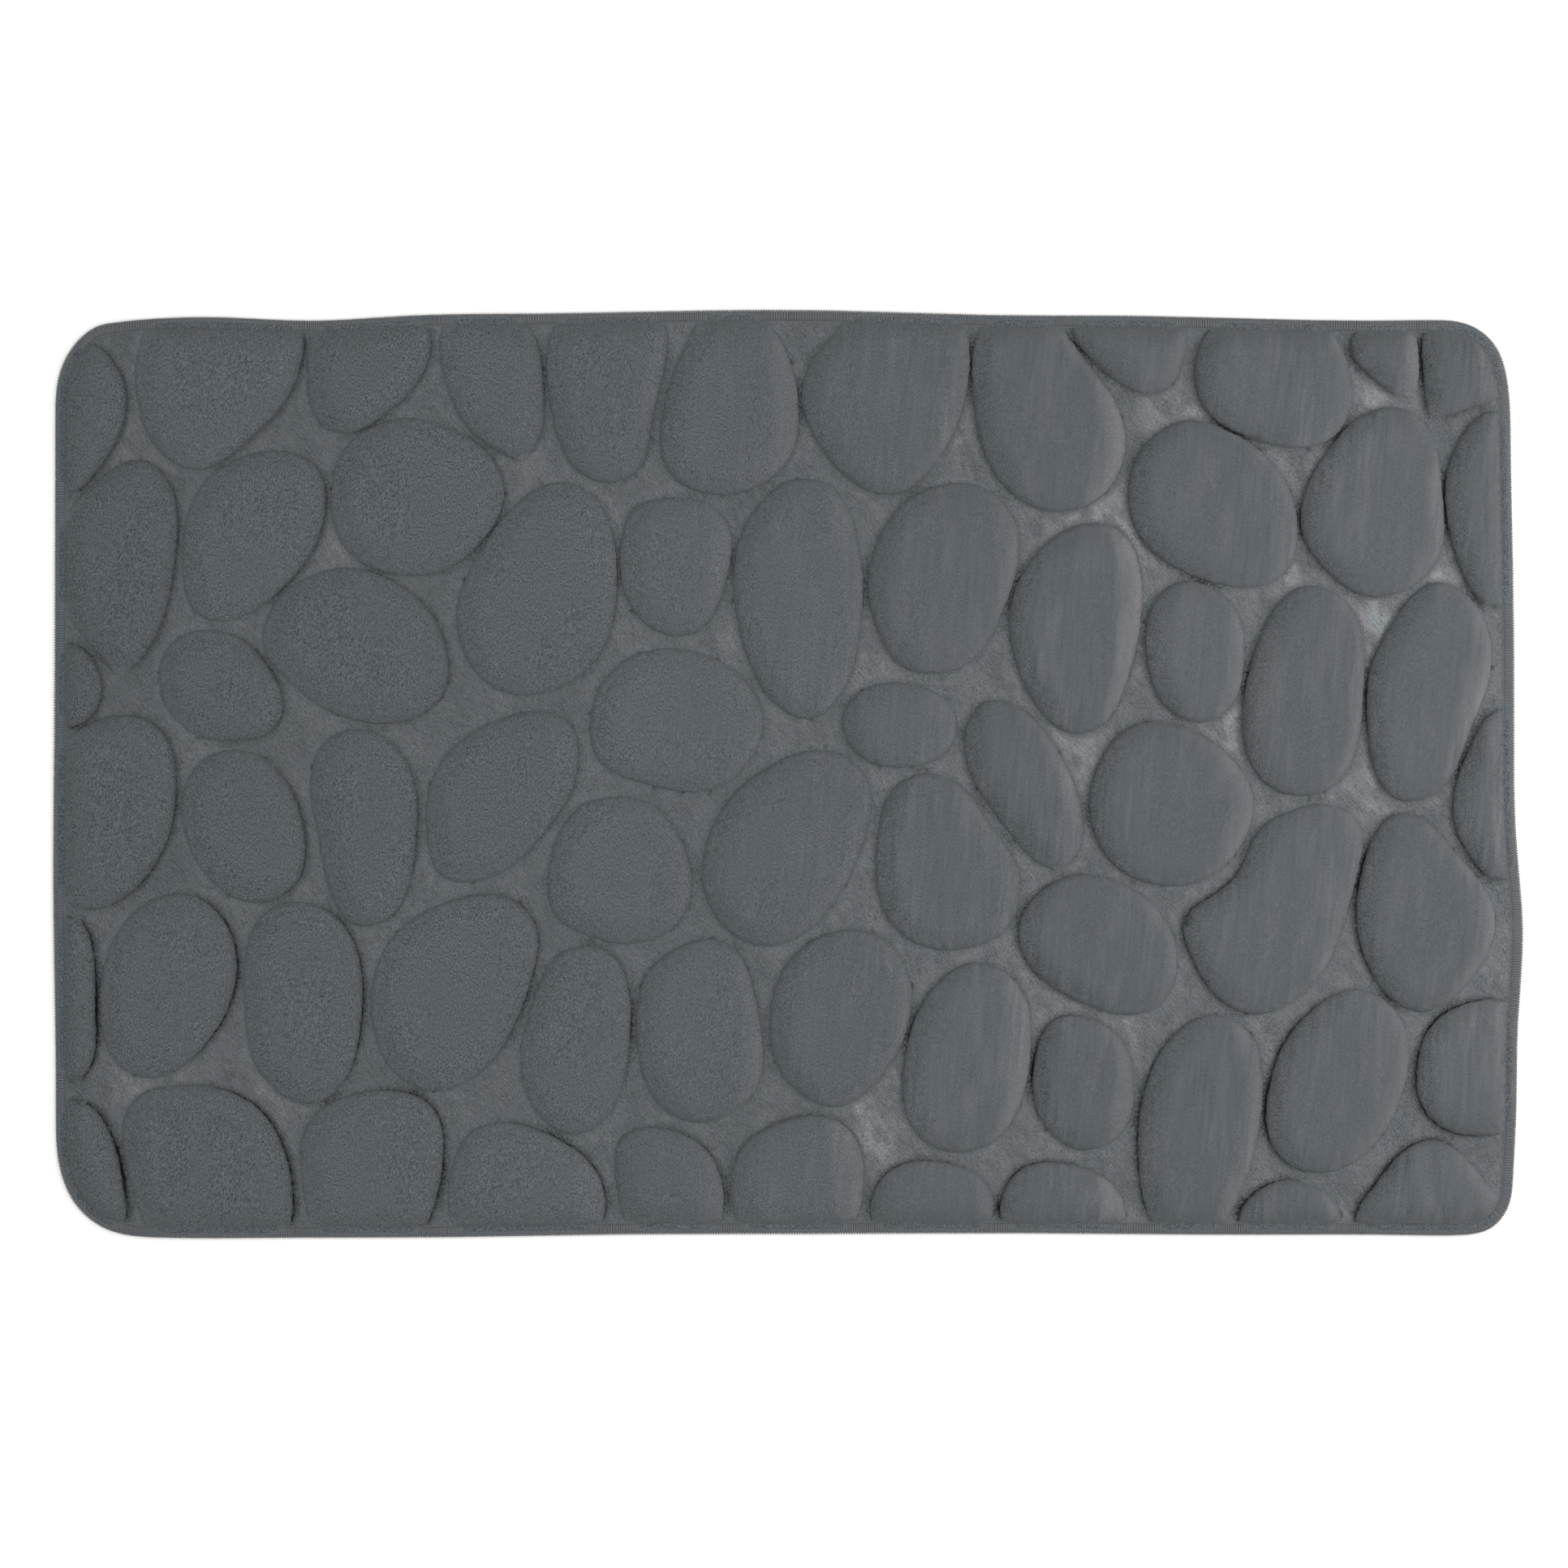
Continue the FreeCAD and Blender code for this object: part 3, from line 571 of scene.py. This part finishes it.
def make_cover():
    """The pile cover: one sheet over all the pebbles, down into the grooves and round the foam."""
    rings = COVER_RINGS + [(-depth, -depth, shoulder_share(depth)) for depth in SHOULDER_DEPTHS]
    fill = fill_points(FILL_SPACING, GROOVE_CLEARANCE, SHOULDER_DEPTHS[-1] + CROWN_CLEARANCE)
    fill = np.vstack([fill] + [hem_line(place) for place in HEM_PLACES[:-1]])
    sheet = Embossed(rings, fill, fuzz=WALL_FUZZ)
    crease = pinch(sheet)
    source = sheet.source
    points = np.column_stack([sheet.xy, cover_heights(sheet, crease)])[source]

    rim = place_in(source, sheet.rim_count)
    edge = points[rim] + np.column_stack([TUCK_OUTSET * hem_normals, np.zeros(len(rim))])
    tuck = np.vstack([edge - (0, 0, TUCK_ROUND), edge * (1, 1, 0) + (0, 0, BACKING_TOP)])
    row = len(points) + np.arange(len(rim))
    faces = sheet.faces.tolist() + strip_faces(rim, row) + strip_faces(row, row + len(rim))
    cover = make_object("pile_cover_sheet", np.vstack([points, tuck]), faces)
    source = np.concatenate([source, source[rim], source[rim]])
    for name, values in pile_facts(sheet, crease).items():
        add_attribute(cover, name, values[source])
    return cover


def make_foam():
    """The foam under the cover: the same pebbles, lower and smaller by the cover's thickness."""
    fill = fill_points(FOAM_SPACING, FOAM_GROOVE_CLEARANCE, FOAM_CROWN_CLEARANCE)
    fill = fill[depth_inside_hem(fill) > FOAM_HEM_CLEARANCE]
    fill = np.vstack([fill, hem_line(-COVER_THICKNESS)[::3]])
    sheet = Embossed(FOAM_RINGS, fill, hem_shift=COVER_THICKNESS)
    z = WEB_TOP + FOAM_RISE * sheet.share
    top = np.column_stack([sheet.xy, z])[sheet.source]
    bottom = top.copy()
    bottom[:, 2] = BACKING_TOP
    count = len(top)
    rim = place_in(sheet.source, sheet.rim_count)
    faces = sheet.faces.tolist() + (sheet.faces[:, ::-1] + count).tolist()
    faces += strip_faces(rim, rim + count)
    return make_object("foam_core_block", np.vstack([top, bottom]), faces)


# ----------------------------------------
# The underside
# ----------------------------------------
def make_backing():
    """The knitted backing: a thin sheet, a little wavy where the glue draws it to the foam."""
    fill = triangle_grid(layer_rim.min(0), layer_rim.max(0), BACKING_SPACING)
    points = np.vstack([layer_rim, fill[depth_inside_hem(fill) > 0]])
    triangles, source = triangulated(points, len(layer_rim))
    flat = points[source]
    middle = (BACKING_TOP + BACKING_BOTTOM) / 2
    z = middle + BACKING_WAVE * noise_at(flat, 25 * MM, 5.0)
    backing = make_object("backing_knit", np.column_stack([flat, z]), triangles)
    thicken(backing, (BACKING_TOP - BACKING_BOTTOM) * BACKING_CLOTH)
    return backing


def make_grip_dots():
    """Low rubbery dots under the backing, in rows, that keep the mat from sliding."""
    places = triangle_grid(layer_rim.min(0), layer_rim.max(0), DOT_PITCH)
    places = places[depth_inside_hem(places) > GRIP_MARGIN + DOT_RADIUS]
    places += rng.normal(0, DOT_SCATTER, places.shape)
    turn = np.arange(DOT_SIDES) * 2 * math.pi / DOT_SIDES
    circle = np.column_stack([np.cos(turn), np.sin(turn)])
    shoulder_width, shoulder_height = DOT_SHOULDER
    shoulder_z = FLOOR_Z + shoulder_height * BACKING_BOTTOM
    rings = [np.column_stack([DOT_RADIUS * width * circle, np.full(DOT_SIDES, z)])
             for width, z in ((1.0, BACKING_BOTTOM), (shoulder_width, shoulder_z))]
    dot = np.vstack(rings + [[(0, 0, FLOOR_Z)]])
    tip = len(dot) - 1
    dot_faces = []
    for side in range(DOT_SIDES):
        after = (side + 1) % DOT_SIDES
        dot_faces.append((after, side, side + DOT_SIDES, after + DOT_SIDES))
        dot_faces.append((after + DOT_SIDES, side + DOT_SIDES, tip))
    vertices = (dot[None] + np.pad(places, ((0, 0), (0, 1)))[:, None]).reshape(-1, 3)
    faces = [tuple(v + number * len(dot) for v in face)
             for number in range(len(places)) for face in dot_faces]
    return make_object("grip_dots", vertices, faces)


def make_label():
    """The blank satin label: a strip folded double, its two ends sewn in under the hem."""
    low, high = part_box("care_label")
    radius = (high.z - low.z - LABEL_CLOTH) / 2
    middle = (high.z + low.z) / 2
    leg = np.linspace(low.y, high.y - radius, 9)
    turn = np.linspace(math.pi / 2, -math.pi / 2, 7)[1:-1]
    path = [(y, middle + radius) for y in leg]
    path += [(leg[-1] + radius * math.cos(a), middle + radius * math.sin(a)) for a in turn]
    path += [(y, middle - radius) for y in leg[::-1]]
    path = np.array(path)
    columns = np.linspace(low.x, high.x, 16)
    ripples = LABEL_RIPPLE * np.sin((columns - low.x) / LABEL_RIPPLE_REACH)
    vertices = [(x, y, z + ripple) for x, ripple in zip(columns, ripples) for y, z in path]
    rows = len(path)
    faces = [(c * rows + r, c * rows + r + 1, (c + 1) * rows + r + 1, (c + 1) * rows + r)
             for c in range(len(columns) - 1) for r in range(rows - 1)]
    label = make_object("care_label_loop", vertices, faces)
    thicken(label, LABEL_CLOTH / 2)
    return label, np.linalg.norm(np.diff(path, axis=0), axis=1).sum()


# ----------------------------------------
# Threads
# ----------------------------------------
def closed_thread(name, points, normals, radius):
    """A thread along a closed row of points; normals point away from what it lies on."""
    sides = THREAD_SIDES
    along = np.roll(points, -1, axis=0) - np.roll(points, 1, axis=0)
    along /= np.linalg.norm(along, axis=1)[:, None]
    across = np.cross(along, normals)
    across /= np.linalg.norm(across, axis=1)[:, None]
    up = np.cross(across, along)
    angles = np.arange(sides) * 2 * math.pi / sides
    circle = (np.cos(angles)[None, :, None] * across[:, None, :]
              + np.sin(angles)[None, :, None] * up[:, None, :])
    vertices = (points[:, None, :] + radius * circle).reshape(-1, 3)
    count = len(points)
    ring = np.arange(count)[:, None]
    side = np.arange(sides)[None, :]
    after = (ring + 1) % count
    around = (side + 1) % sides
    faces = np.stack([ring * sides + side, ring * sides + around,
                      after * sides + around, after * sides + side], axis=-1).reshape(-1, 4)
    return make_object(name, vertices, faces)


def hem_section(share):
    """The thread's place on the hem's section: outset, height and the way the surface faces.

    share runs from 0 at the needle line on top, round the edge at 0.5, to 1 at the needle line
    underneath.
    """
    middle = (FLOOR_Z + HEM_TOP) / 2
    half = (HEM_TOP - FLOOR_Z) / 2 - THREAD_RADIUS
    flat_end = HEM_WIDTH * HEM_FLAT
    round_width = HEM_WIDTH - flat_end - THREAD_RADIUS
    upper = 1 if share <= 0.5 else -1
    from_top = share if share <= 0.5 else 1 - share
    if from_top < HEM_FLAT_PATH:
        part = from_top / HEM_FLAT_PATH
        dip = HEM_DIP * (1 - part) ** 2
        return flat_end * part, middle + upper * (half - dip), (0.0, upper)
    angle = (1 - (from_top - HEM_FLAT_PATH) / (0.5 - HEM_FLAT_PATH)) * math.pi / 2
    outset = flat_end + round_width * math.cos(angle) ** HEM_ROUNDNESS
    height = middle + upper * half * math.sin(angle) ** HEM_ROUNDNESS
    return outset, height, (math.cos(angle), upper * math.sin(angle))


def hem_points(path):
    """World points and surface normals of (place along the hem in stitches, share) pairs."""
    count = len(layer_rim)
    places = np.array([place for place, _ in path])
    index = np.floor(places).astype(int)
    part = (places - index)[:, None]
    base = layer_rim[index % count] * (1 - part) + layer_rim[(index + 1) % count] * part
    outward = hem_normals[index % count] * (1 - part) + hem_normals[(index + 1) % count] * part
    section = [hem_section(share) for _, share in path]
    outset = np.array([s[0] for s in section]) - (HEM_WIDTH - HEM_WRAP)
    height = np.array([s[1] for s in section])
    faces_out = np.array([s[2][0] for s in section])
    faces_up = np.array([s[2][1] for s in section])
    points = np.column_stack([base + outset[:, None] * outward, height])
    normals = np.column_stack([outward * faces_out[:, None], faces_up])
    return points, normals


def make_looper(name, start_share, end_share, leg_shares):
    """A looper thread: at every stitch it runs out over the hem to its edge and back."""
    path = []
    for stitch in range(len(layer_rim)):
        sway = rng.normal(0, LOOP_SWAY, 4)
        path.append((stitch + sway[0], start_share))
        path += [(stitch + LEG_PLACE + sway[1], share) for share in leg_shares]
        path.append((stitch + 0.5 + sway[2], end_share))
        back = stitch + 1 - LEG_PLACE + sway[3]
        path += [(back, share) for share in reversed(leg_shares)]
    points, normals = hem_points(path)
    lift = rng.normal(0, LOOP_LIFT, len(points))
    points += normals * lift[:, None]
    return closed_thread(name, points, normals, THREAD_RADIUS)


def make_needle_thread():
    """The needle thread: a row of short stitches along the inner side of the overlock."""
    line = hem_line(-NEEDLE_INSET)
    after = np.roll(line, -1, axis=0)
    points = []
    for share, lift in NEEDLE_STITCH:
        place = line * (1 - share) + after * share
        points.append(np.column_stack([place, np.full(len(place), GROOVE_TOP + lift)]))
    points = np.stack(points, axis=1).reshape(-1, 3)
    normals = np.tile([0.0, 0.0, 1.0], (len(points), 1))
    return closed_thread("needle_stitches", points, normals, NEEDLE_RADIUS)


# ----------------------------------------
# Materials
# ----------------------------------------
WAVE_UNIT = 20                   # a wave texture of scale 1 turns this many radians in a metre


class Nodes:
    """A small helper that adds and links nodes of one material."""

    def __init__(self, name):
        self.material = bpy.data.materials.new(name)
        self.material.use_nodes = True
        self.tree = self.material.node_tree
        self.shader = self.tree.nodes["Principled BSDF"]

    def add(self, kind, **settings):
        """A new node with some of its properties set."""
        node = self.tree.nodes.new(kind)
        for key, value in settings.items():
            setattr(node, key, value)
        return node

    def link(self, output, target):
        self.tree.links.new(output, target)

    def put(self, value, target):
        """Set an input to a number or colour, or link it to another node's output."""
        if isinstance(value, bpy.types.NodeSocket):
            self.link(value, target)
        else:
            target.default_value = value

    def attribute(self, name):
        """What the mesh says about a point under a name."""
        return self.add("ShaderNodeAttribute", attribute_name=name).outputs["Fac"]

    def math(self, operation, a, b):
        """The result of one sum on two values."""
        node = self.add("ShaderNodeMath", operation=operation)
        self.put(a, node.inputs[0])
        self.put(b, node.inputs[1])
        return node.outputs[0]

    def total(self, *values):
        """The sum of two or more values."""
        result = values[0]
        for value in values[1:]:
            result = self.math("ADD", result, value)
        return result

    def product(self, *values):
        """The product of two or more values."""
        result = values[0]
        for value in values[1:]:
            result = self.math("MULTIPLY", result, value)
        return result

    def noise(self, scale, detail=2.0, roughness=0.5, turn=0):
        """Noise over the object; scale is a triple of features per metre along X, Y and Z.

        turn is how many degrees its features are turned about Z.
        """
        place = self.add("ShaderNodeTexCoord").outputs["Object"]
        stretch = self.add("ShaderNodeMapping")
        stretch.vector_type = "TEXTURE"
        stretch.inputs["Scale"].default_value = [1 / value for value in scale]
        stretch.inputs["Rotation"].default_value[2] = math.radians(turn)
        self.link(place, stretch.inputs["Vector"])
        texture = self.add("ShaderNodeTexNoise")
        texture.inputs["Scale"].default_value = 1.0
        texture.inputs["Detail"].default_value = detail
        texture.inputs["Roughness"].default_value = roughness
        self.link(stretch.outputs["Vector"], texture.inputs["Vector"])
        return texture.outputs["Fac"]

    def wave(self, axis, period):
        """Even ridges along an axis of the mat, from 0 to 1."""
        texture = self.add("ShaderNodeTexWave", bands_direction=axis)
        texture.inputs["Scale"].default_value = 2 * math.pi / WAVE_UNIT / period
        self.link(self.add("ShaderNodeTexCoord").outputs["Object"], texture.inputs["Vector"])
        return texture.outputs["Fac"]

    def mix(self, share, a, b):
        """Between two colours."""
        node = self.add("ShaderNodeMix", data_type="RGBA")
        self.put(share, node.inputs[0])
        self.put(a, node.inputs[6])
        self.put(b, node.inputs[7])
        return node.outputs[2]

    def mix_values(self, share, a, b):
        """Between two numbers."""
        node = self.add("ShaderNodeMix", data_type="FLOAT")
        self.put(share, node.inputs[0])
        self.put(a, node.inputs[2])
        self.put(b, node.inputs[3])
        return node.outputs[0]

    def ramp(self, value, start, end):
        """0 at start and before, 1 at end and after, and smooth between them."""
        node = self.add("ShaderNodeMapRange", interpolation_type="SMOOTHSTEP")
        self.link(value, node.inputs["Value"])
        node.inputs["From Min"].default_value = start
        node.inputs["From Max"].default_value = end
        return node.outputs[0]

    def centred(self, value):
        """Noise moved to lie around 0."""
        return self.math("SUBTRACT", value, 0.5)

    def facing(self, axis):
        """How far the surface faces along an axis of the mat."""
        normal = self.add("ShaderNodeNewGeometry").outputs["Normal"]
        split = self.add("ShaderNodeSeparateXYZ")
        self.link(normal, split.inputs[0])
        return split.outputs[axis]

    def brighten(self, colour, factor):
        """A colour made lighter or darker by a factor."""
        node = self.add("ShaderNodeVectorMath", operation="SCALE")
        self.put(colour, node.inputs[0])
        self.put(factor, node.inputs["Scale"])
        return node.outputs[0]

    def bump(self, height, distance, strength):
        """Give the shader's surface a fine relief."""
        node = self.add("ShaderNodeBump")
        node.inputs["Distance"].default_value = distance
        node.inputs["Strength"].default_value = strength
        self.link(height, node.inputs["Height"])
        self.link(node.outputs["Normal"], self.shader.inputs["Normal"])


PILE_COLOUR = (0.080, 0.0893, 0.0965, 1)
GROUND_COLOUR = (0.0765, 0.0865, 0.093, 1)
WARM_COLOUR = (0.143, 0.1435, 0.151, 1)
# painted bluish glint on the ground where the pile is brushed most
PAINTED_GLINT_COLOUR = (0.178, 0.197, 0.207, 1)
# painted shade at the pebbles' pinched feet and in the narrow gaps between them
CREASE_SHADE_COLOUR = (0.006, 0.007, 0.008, 1)
THREAD_COLOUR = (0.113, 0.124, 0.132)
KNIT_COLOUR = (0.070, 0.074, 0.079)
LATEX_COLOUR = (0.020, 0.021, 0.023)
SATIN_COLOUR = (0.72, 0.72, 0.70)
FOAM_COLOUR = (0.6, 0.56, 0.45)
FLOOR_COLOUR = (0.95, 0.95, 0.95, 1)
RIB_PITCH = 1.4 * MM             # of the backing's knit
COURSE_PITCH = 1.1 * MM
WEFT_PITCH = 0.3 * MM            # of the label's satin


def pile_grain(nodes, patches):
    """The grain of the pebbles' knitted loops, slanted in some parts and upright in others."""
    slanted = nodes.noise((2300, 780, 900), detail=0.0, turn=-25)
    upright = nodes.noise((2100, 880, 1000), detail=0.0, turn=-6)
    slanted = nodes.product(nodes.centred(slanted), 0.9)
    upright = nodes.centred(upright)
    return nodes.mix_values(nodes.ramp(patches, 0.42, 0.58), slanted, upright)


def pile_colour(nodes, patches):
    """The pile's colours: cool, warmer where brushed back, with a painted glint where brushed
    most, painted light on slopes facing east, and painted shade in creases and gaps.
    """
    nap_and_side_light = nodes.attribute("nap_and_side_light")
    blots = nodes.centred(nodes.noise((120, 22, 40), detail=3.0, turn=-6))
    # Painted light from the right: slopes facing east on the pebbles in the east are made warmer.
    painted_right_light = nodes.product(nodes.ramp(nodes.facing("X"), 0.12, 0.5), nap_and_side_light)
    strip_place = nodes.total(nodes.attribute("across"), nodes.product(blots, 0.2))
    strip = nodes.product(nodes.ramp(strip_place, 0.73, 0.84), nodes.attribute("strip"))
    streaks = nodes.noise((110, 60, 60), detail=3.0, turn=25)
    brushed = nodes.product(nodes.attribute("open"), nodes.ramp(patches, 0.15, 0.6),
                            nodes.total(nodes.ramp(streaks, 0.3, 0.65), 0.35))
    warm = nodes.total(brushed, nodes.product(strip, 0.45), nodes.product(painted_right_light, 0.25),
                       nodes.product(blots, nap_and_side_light, 1.0))
    colour = nodes.mix(nodes.attribute("ground"), PILE_COLOUR, GROUND_COLOUR)
    colour = nodes.mix(warm, colour, WARM_COLOUR)
    # Painted bluish glint on the ground where the pile is brushed most.
    colour = nodes.mix(nodes.ramp(brushed, 0.6, 1.6), colour, PAINTED_GLINT_COLOUR)

    # Painted shade at the pebbles' pinched feet and in the narrow gaps between them, ragged like
    # the pile's edge.
    ragged = nodes.ramp(nodes.noise((650, 650, 300), detail=1.0), 0.38, 0.6)
    crease = nodes.attribute("crease")
    dark = nodes.product(crease, nodes.total(nodes.product(ragged, 0.7), 0.3))
    dark = nodes.math("MAXIMUM", dark, nodes.math("POWER", crease, 4.0))
    return nodes.mix(dark, colour, CREASE_SHADE_COLOUR)


def pile_light(nodes, patches, grain, dots, wrinkles):
    """How much lighter or darker than its colour the pile is: the fine marks, painted shade on
    slopes facing west and painted light along the pebbles' outer sides, added together.
    """
    ground = nodes.attribute("ground")
    nap_and_side_light = nodes.attribute("nap_and_side_light")
    # Painted shade on slopes facing west on the pebbles in the east, away from the light on the
    # right; the dots show more there.
    painted_left_shade = nodes.product(nodes.ramp(nodes.facing("X"), 0.0, -0.5), nap_and_side_light)
    strokes = nodes.centred(nodes.noise((420, 36, 60), detail=2.0, turn=-5))
    fibres = nodes.centred(nodes.noise((900, 180, 400), detail=2.0, turn=40))
    smooth = nodes.math("MAXIMUM", nodes.product(nap_and_side_light, 0.65), nodes.product(ground, 0.45))
    return nodes.total(
        1.0,
        nodes.product(grain, nodes.math("SUBTRACT", 1.0, smooth), 1.8),
        nodes.product(dots, painted_left_shade, 1.3),
        nodes.product(painted_left_shade, -0.09),
        nodes.product(strokes, nap_and_side_light, nodes.ramp(patches, 0.3, 0.7), 0.7),
        nodes.product(fibres, ground, 0.65),
        nodes.product(dots, ground, 0.7),
        nodes.product(wrinkles, 0.3),
        nodes.product(nodes.centred(patches), 0.1),
        # painted light along the pebbles' outer sides
        nodes.product(nodes.attribute("edge"), 0.55),
        nodes.product(nodes.attribute("tone"), 0.015),
    )


def pile_material():
    """Short brushed pile: a fine grain of knitted loops, and a smoother, warmer ground."""
    nodes = Nodes("pile")
    shader = nodes.shader
    shader.inputs["Roughness"].default_value = 0.95
    shader.inputs["Sheen Weight"].default_value = 0.12
    shader.inputs["Sheen Roughness"].default_value = 0.5
    shader.inputs["Specular IOR Level"].default_value = 0.05

    patches = nodes.noise((22, 14, 20), detail=2.0)
    grain = pile_grain(nodes, patches)
    dots = nodes.centred(nodes.noise((1300, 1000, 800), detail=1.0))
    wrinkles = nodes.centred(nodes.noise((160, 90, 90), detail=3.0, turn=30))
    wrinkles = nodes.product(wrinkles, nodes.attribute("ground"))
    light = pile_light(nodes, patches, grain, dots, wrinkles)
    nodes.link(nodes.brighten(pile_colour(nodes, patches), light), shader.inputs["Base Color"])
    relief = nodes.total(grain, nodes.product(dots, 0.5), nodes.product(wrinkles, 2.0))
    nodes.bump(relief, 0.5 * MM, 0.3)
    return nodes.material


def thread_material():
    """Spun sewing thread."""
    nodes = Nodes("overlock_thread")
    shader = nodes.shader
    shader.inputs["Roughness"].default_value = 0.8
    shader.inputs["Sheen Weight"].default_value = 0.2
    fibres = nodes.noise((1500, 1500, 1500), detail=2.0)
    patches = nodes.noise((60, 60, 60), detail=2.0)
    light = nodes.total(nodes.product(fibres, 0.4), 0.6, nodes.product(patches, 0.3))
    nodes.link(nodes.brighten(THREAD_COLOUR, light), shader.inputs["Base Color"])
    nodes.bump(fibres, 0.2 * MM, 0.5)
    return nodes.material


def knit_material():
    """The backing's fine warp knit: upright ribs crossed by shallower courses."""
    nodes = Nodes("backing_knit")
    shader = nodes.shader
    shader.inputs["Roughness"].default_value = 0.9
    shader.inputs["Sheen Weight"].default_value = 0.1
    ribs = nodes.wave("X", RIB_PITCH)
    courses = nodes.wave("Y", COURSE_PITCH)
    patches = nodes.noise((30, 30, 30), detail=3.0)
    height = nodes.total(ribs, nodes.product(courses, 0.6))
    light = nodes.total(nodes.product(height, 0.3), nodes.product(patches, 0.3), 0.6)
    nodes.link(nodes.brighten(KNIT_COLOUR, light), shader.inputs["Base Color"])
    nodes.bump(height, 0.2 * MM, 0.7)
    return nodes.material


def rubber_material():
    """The grip dots' latex: dark and slightly glossy, with a fine skin and dusty patches."""
    nodes = Nodes("grip_latex")
    shader = nodes.shader
    skin = nodes.noise((1200, 1200, 1200), detail=3.0)
    patches = nodes.noise((40, 40, 40), detail=3.0)
    light = nodes.total(nodes.product(patches, 0.8), 0.6)
    nodes.link(nodes.brighten(LATEX_COLOUR, light), shader.inputs["Base Color"])
    nodes.link(nodes.total(nodes.product(skin, 0.3), 0.35), shader.inputs["Roughness"])
    nodes.bump(skin, 0.1 * MM, 0.4)
    return nodes.material


def satin_material():
    """The label's blank satin: fine bright weft threads that lie over the warp."""
    nodes = Nodes("label_satin")
    shader = nodes.shader
    shader.inputs["Roughness"].default_value = 0.38
    shader.inputs["Sheen Weight"].default_value = 0.2
    weft = nodes.wave("Y", WEFT_PITCH)
    warp = nodes.noise((2500, 400, 400), detail=1.0)
    light = nodes.total(nodes.product(weft, 0.08), nodes.product(warp, 0.16), 0.84)
    nodes.link(nodes.brighten(SATIN_COLOUR, light), shader.inputs["Base Color"])
    nodes.bump(nodes.total(weft, warp), 0.03 * MM, 0.5)
    return nodes.material


def foam_material():
    """Matt cream foam with a fine open grain."""
    nodes = Nodes("foam")
    nodes.shader.inputs["Roughness"].default_value = 0.9
    grain = nodes.noise((700, 700, 700), detail=3.0)
    light = nodes.total(nodes.product(grain, 0.4), 0.8)
    nodes.link(nodes.brighten(FOAM_COLOUR, light), nodes.shader.inputs["Base Color"])
    nodes.bump(grain, 0.3 * MM, 0.5)
    return nodes.material


def dress(made, material, slot, *replaced):
    """Give a piece its material and its place in the frame."""
    made.data.materials.clear()
    made.data.materials.append(material)
    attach(made, "root")
    if replaced:
        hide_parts(*replaced)


# ----------------------------------------
# Camera, light and floor
# ----------------------------------------
WORLD_LIGHT = 0.42
FLOOR_HALF = 6.0
# Each softbox: name, place, what it is turned to, size, power and colour.
SOFTBOXES = [
    ("overhead", (0, 0, 2.2), (0, 0, 0), (1.6, 1.2), 40, (1, 1, 1)),
    ("right", (0.8, 0.05, 0.5), (0.2, 0, 0), (0.3, 0.9), 3.2, (1.0, 0.93, 0.91)),
]
LENS = 100                       # focal length, in millimetres like the sensor's width
SENSOR_WIDTH = 36
VIEW_WIDTH = 869.4 * MM          # how wide the camera's view is at the height VIEW_Z
VIEW_Z = GROOVE_TOP - 1.2 * MM
VIEW_MIDDLE = (-2.25 * MM, -5.5 * MM)


def add_softbox(name, place, target, size, power, colour):
    """A rectangular light at a place, turned towards a target."""
    lamp = bpy.data.lights.new(name, "AREA")
    lamp.shape = "RECTANGLE"
    lamp.size, lamp.size_y = size
    lamp.energy = power
    lamp.color = colour
    softbox = bpy.data.objects.new(name, lamp)
    softbox.location = place
    softbox.rotation_euler = (Vector(target) - Vector(place)).to_track_quat("-Z", "Y").to_euler()
    bpy.context.scene.collection.objects.link(softbox)


def add_floor():
    """A pale, matt floor under the mat."""
    corners = [(-FLOOR_HALF, -FLOOR_HALF), (FLOOR_HALF, -FLOOR_HALF),
               (FLOOR_HALF, FLOOR_HALF), (-FLOOR_HALF, FLOOR_HALF)]
    floor = make_object("floor", [(x, y, FLOOR_Z) for x, y in corners], [(0, 1, 2, 3)])
    paint = Nodes("floor")
    paint.shader.inputs["Base Color"].default_value = FLOOR_COLOUR
    paint.shader.inputs["Roughness"].default_value = 0.9
    floor.data.materials.append(paint.material)


def add_camera():
    """A camera with a long lens, straight above the mat."""
    camera_data = bpy.data.cameras.new("camera")
    camera_data.lens = LENS
    camera_data.sensor_width = SENSOR_WIDTH
    camera = bpy.data.objects.new("camera", camera_data)
    distance = VIEW_WIDTH * LENS / SENSOR_WIDTH
    camera.location = (*VIEW_MIDDLE, VIEW_Z + distance)
    bpy.context.scene.collection.objects.link(camera)
    bpy.context.scene.camera = camera


def set_up_studio():
    """A pale floor, soft light from above and from the right, and the camera."""
    scene = bpy.context.scene
    scene.view_settings.view_transform = "Standard"
    scene.world = bpy.data.worlds.new("studio")
    scene.world.use_nodes = True
    background = scene.world.node_tree.nodes["Background"]
    background.inputs["Color"].default_value = (1, 1, 1, 1)
    background.inputs["Strength"].default_value = WORLD_LIGHT
    add_floor()
    for softbox in SOFTBOXES:
        add_softbox(*softbox)
    add_camera()


# ----------------------------------------
# The mat, piece by piece
# ----------------------------------------
set_up_studio()

thread = thread_material()
upper = make_looper("upper_looper_loops", *UPPER_LOOP)
dress(upper, thread, "overlock_thread", "upper_looper_thread")
lower = make_looper("lower_looper_loops", *LOWER_LOOP)
dress(lower, thread, "overlock_thread", "lower_looper_thread")
needle = make_needle_thread()
dress(needle, thread, "overlock_thread", "needle_thread")

foam = make_foam()
dress(foam, foam_material(), "foam", "foam_core")

cover = make_cover()
dress(cover, pile_material(), "pile", "pile_cover")

dots = make_grip_dots()
dress(dots, rubber_material(), "grip_coating", "grip_coating")
backing = make_backing()
dress(backing, knit_material(), "backing_cloth", "backing_cloth")

label, label_length = make_label()
dress(label, satin_material(), "label_satin", "care_label")
